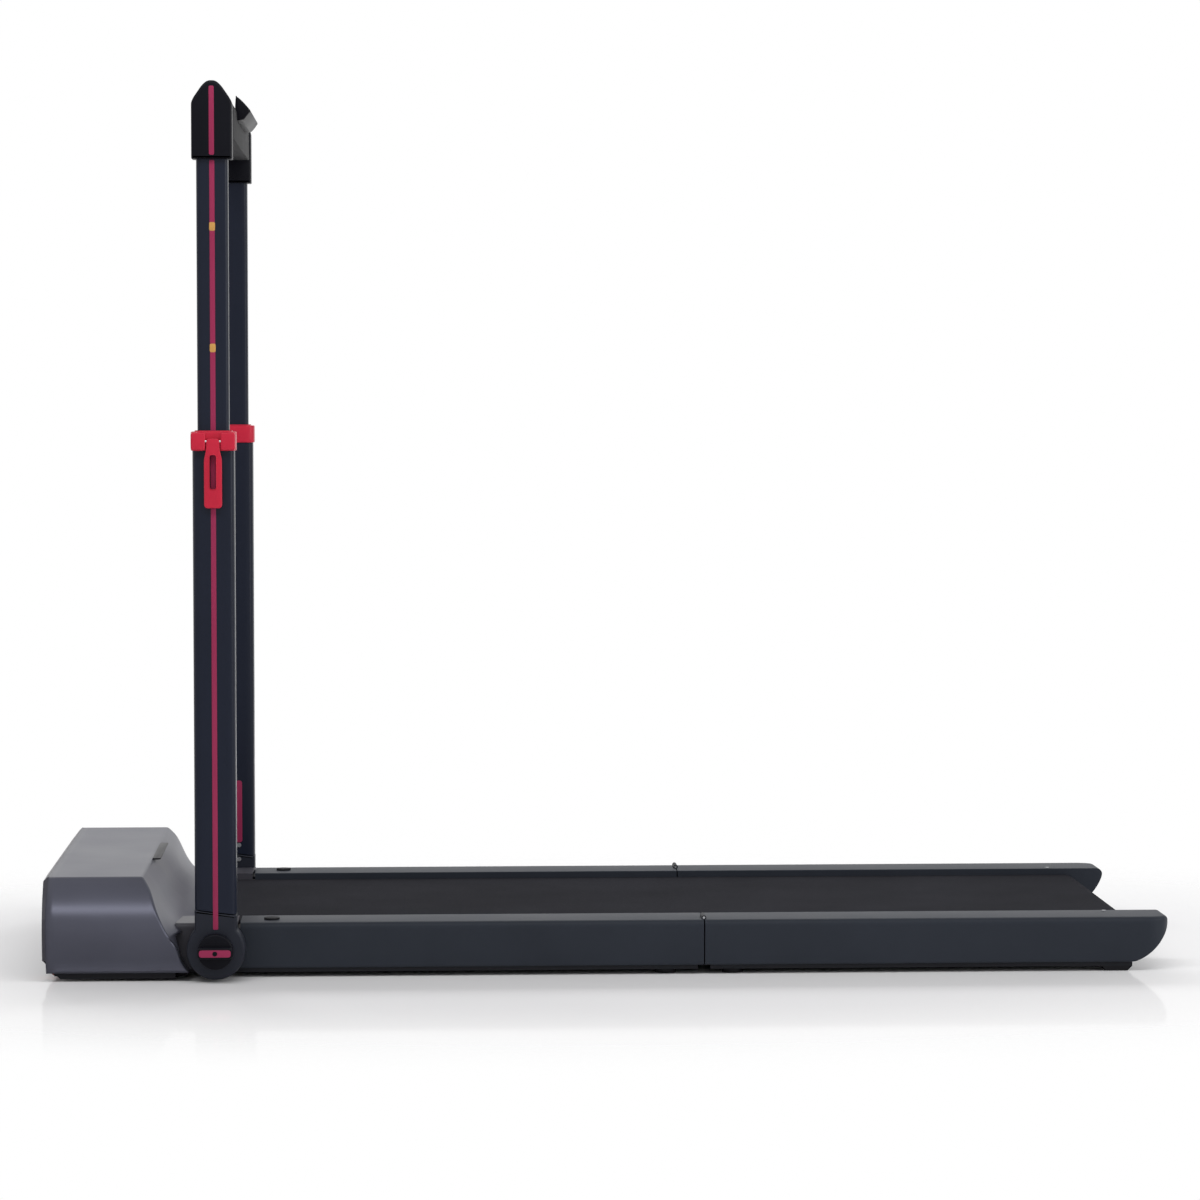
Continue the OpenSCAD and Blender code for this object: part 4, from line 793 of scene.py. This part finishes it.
def knob(side, word):
    face = cad_high[1] / MM
    near, far = POST_OUT + 0.4, face
    at = (PIVOT_X, PIVOT_Z)
    low, high = sorted((side * near, side * (near + 13)))
    body = f"knob_{word[0]}"
    slab(f"knob_body_{word}", circle(22.5, 96, at), low, high, 2.2, "y", body, "gloss_black",
         (f"knob_{word}",))
    low, high = sorted((side * (near + 8), side * (far - 0.9)))
    bar = softened([(PIVOT_X + 22, PIVOT_Z - 7), (PIVOT_X + 22, PIVOT_Z + 7),
                    (PIVOT_X - 22, PIVOT_Z + 7), (PIVOT_X - 22, PIVOT_Z - 7)], 5)
    slab(f"knob_bar_{word}", bar, low, high, 2.0, "y", body, "gloss_black")
    low, high = sorted((side * (far - 2), side * (far - 0.4)))
    inlay = softened([(PIVOT_X + 20, PIVOT_Z - 4.6), (PIVOT_X + 20, PIVOT_Z + 4.6),
                      (PIVOT_X - 20, PIVOT_Z + 4.6), (PIVOT_X - 20, PIVOT_Z - 4.6)], 4)
    slab(f"knob_inlay_{word}", inlay, low, high, 0.5, "y", body, "strip_red")
    low, high = sorted((side * (far - 1.5), side * far))
    return slab(f"knob_screw_{word}", circle(3.1, 32, at), low, high, 0.4, "y", body, "gloss_black")


for make in (collar, lever, knob):
    sides(make)

# %% [markdown]
# ## The handlebar
# The elbow caps have a gabled outline with a chamfered outer face. The grip is the same gable a
# little smaller, run from cap to cap, and a shelf for a phone stands out from its middle.
# %% Handlebar
SHOULDER, CAP_HALF, CAP_H = TOP - 22, 25.5, 98.0


def gable(inset, low):
    """The gabled outline drawn in by inset, about the post's line."""
    h, s = TOP - inset, SHOULDER - inset * 0.5
    w = CAP_HALF - inset
    return softened(np.array([(w, low), (w, s - 6), (w - 2.5, s), (12, h - 6), (5, h), (-5, h),
                              (-12, h - 6), (-w + 2.5, s), (-w, s - 6), (-w, low)])
                    + [PIVOT_X, 0], [1.5, 4, 3, 6, 4, 4, 6, 3, 4, 1.5], 6)


def elbow(side, word):
    low, high = sorted((side * POST_IN, side * (POST_OUT + 0.9)))
    made = slab(f"elbow_cap_{word}", gable(0, TOP - CAP_H), low, high, 3.5, "y", "handlebar",
                "gloss_black", ("elbow_caps",), smooth=40)
    strip(f"cap_strip_{word}", TOP - CAP_H + 5, TOP - 7, POST_OUT + 0.7, 6.5, side, "handlebar",
          "strip_red", proud=0.5)
    return made


sides(elbow)
slab("grip_bar", gable(4, TOP - 66), -POST_IN, POST_IN, 0.5, "y", "handlebar", "gloss_black",
     ("crossbar",))
slab("soft_grip_cover", gable(1, TOP - 68), -262, 262, 2.0, "y", "handlebar", "grip_black",
     ("grip_cover",))
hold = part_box("phone_holder")
x0 = PIVOT_X + CAP_HALF - 4
beak = np.array([(x0, TOP - 38), (PIVOT_X + 32.5, TOP - 37), (PIVOT_X + 42, TOP - 25)])
lip = np.array([(x0 + 11, TOP - 14)])
pocket = np.array([(x0 + 9, TOP - 20), (x0 + 3, TOP - 20), (x0 + 3, TOP - 7)])
back_edge = np.array([(x0 + 1, TOP - 5), (x0, TOP - 22)])
half_shelf = hold[1][1] / MM
slab("phone_shelf", softened(np.vstack([beak, lip, pocket, back_edge]), 2.4), 4 - half_shelf,
     half_shelf - 4, 0.3, "y", "handlebar", "gloss_black", ("phone_holder",))
for side, word in ((-1, "left"), (1, "right")):
    low, high = sorted((side * (half_shelf - 4.5), side * half_shelf))
    slab(f"shelf_end_{word}", softened(np.vstack([beak, lip, back_edge]), 6), low, high, 1.6, "y",
         "handlebar", "gloss_black")
print("handlebar ready")
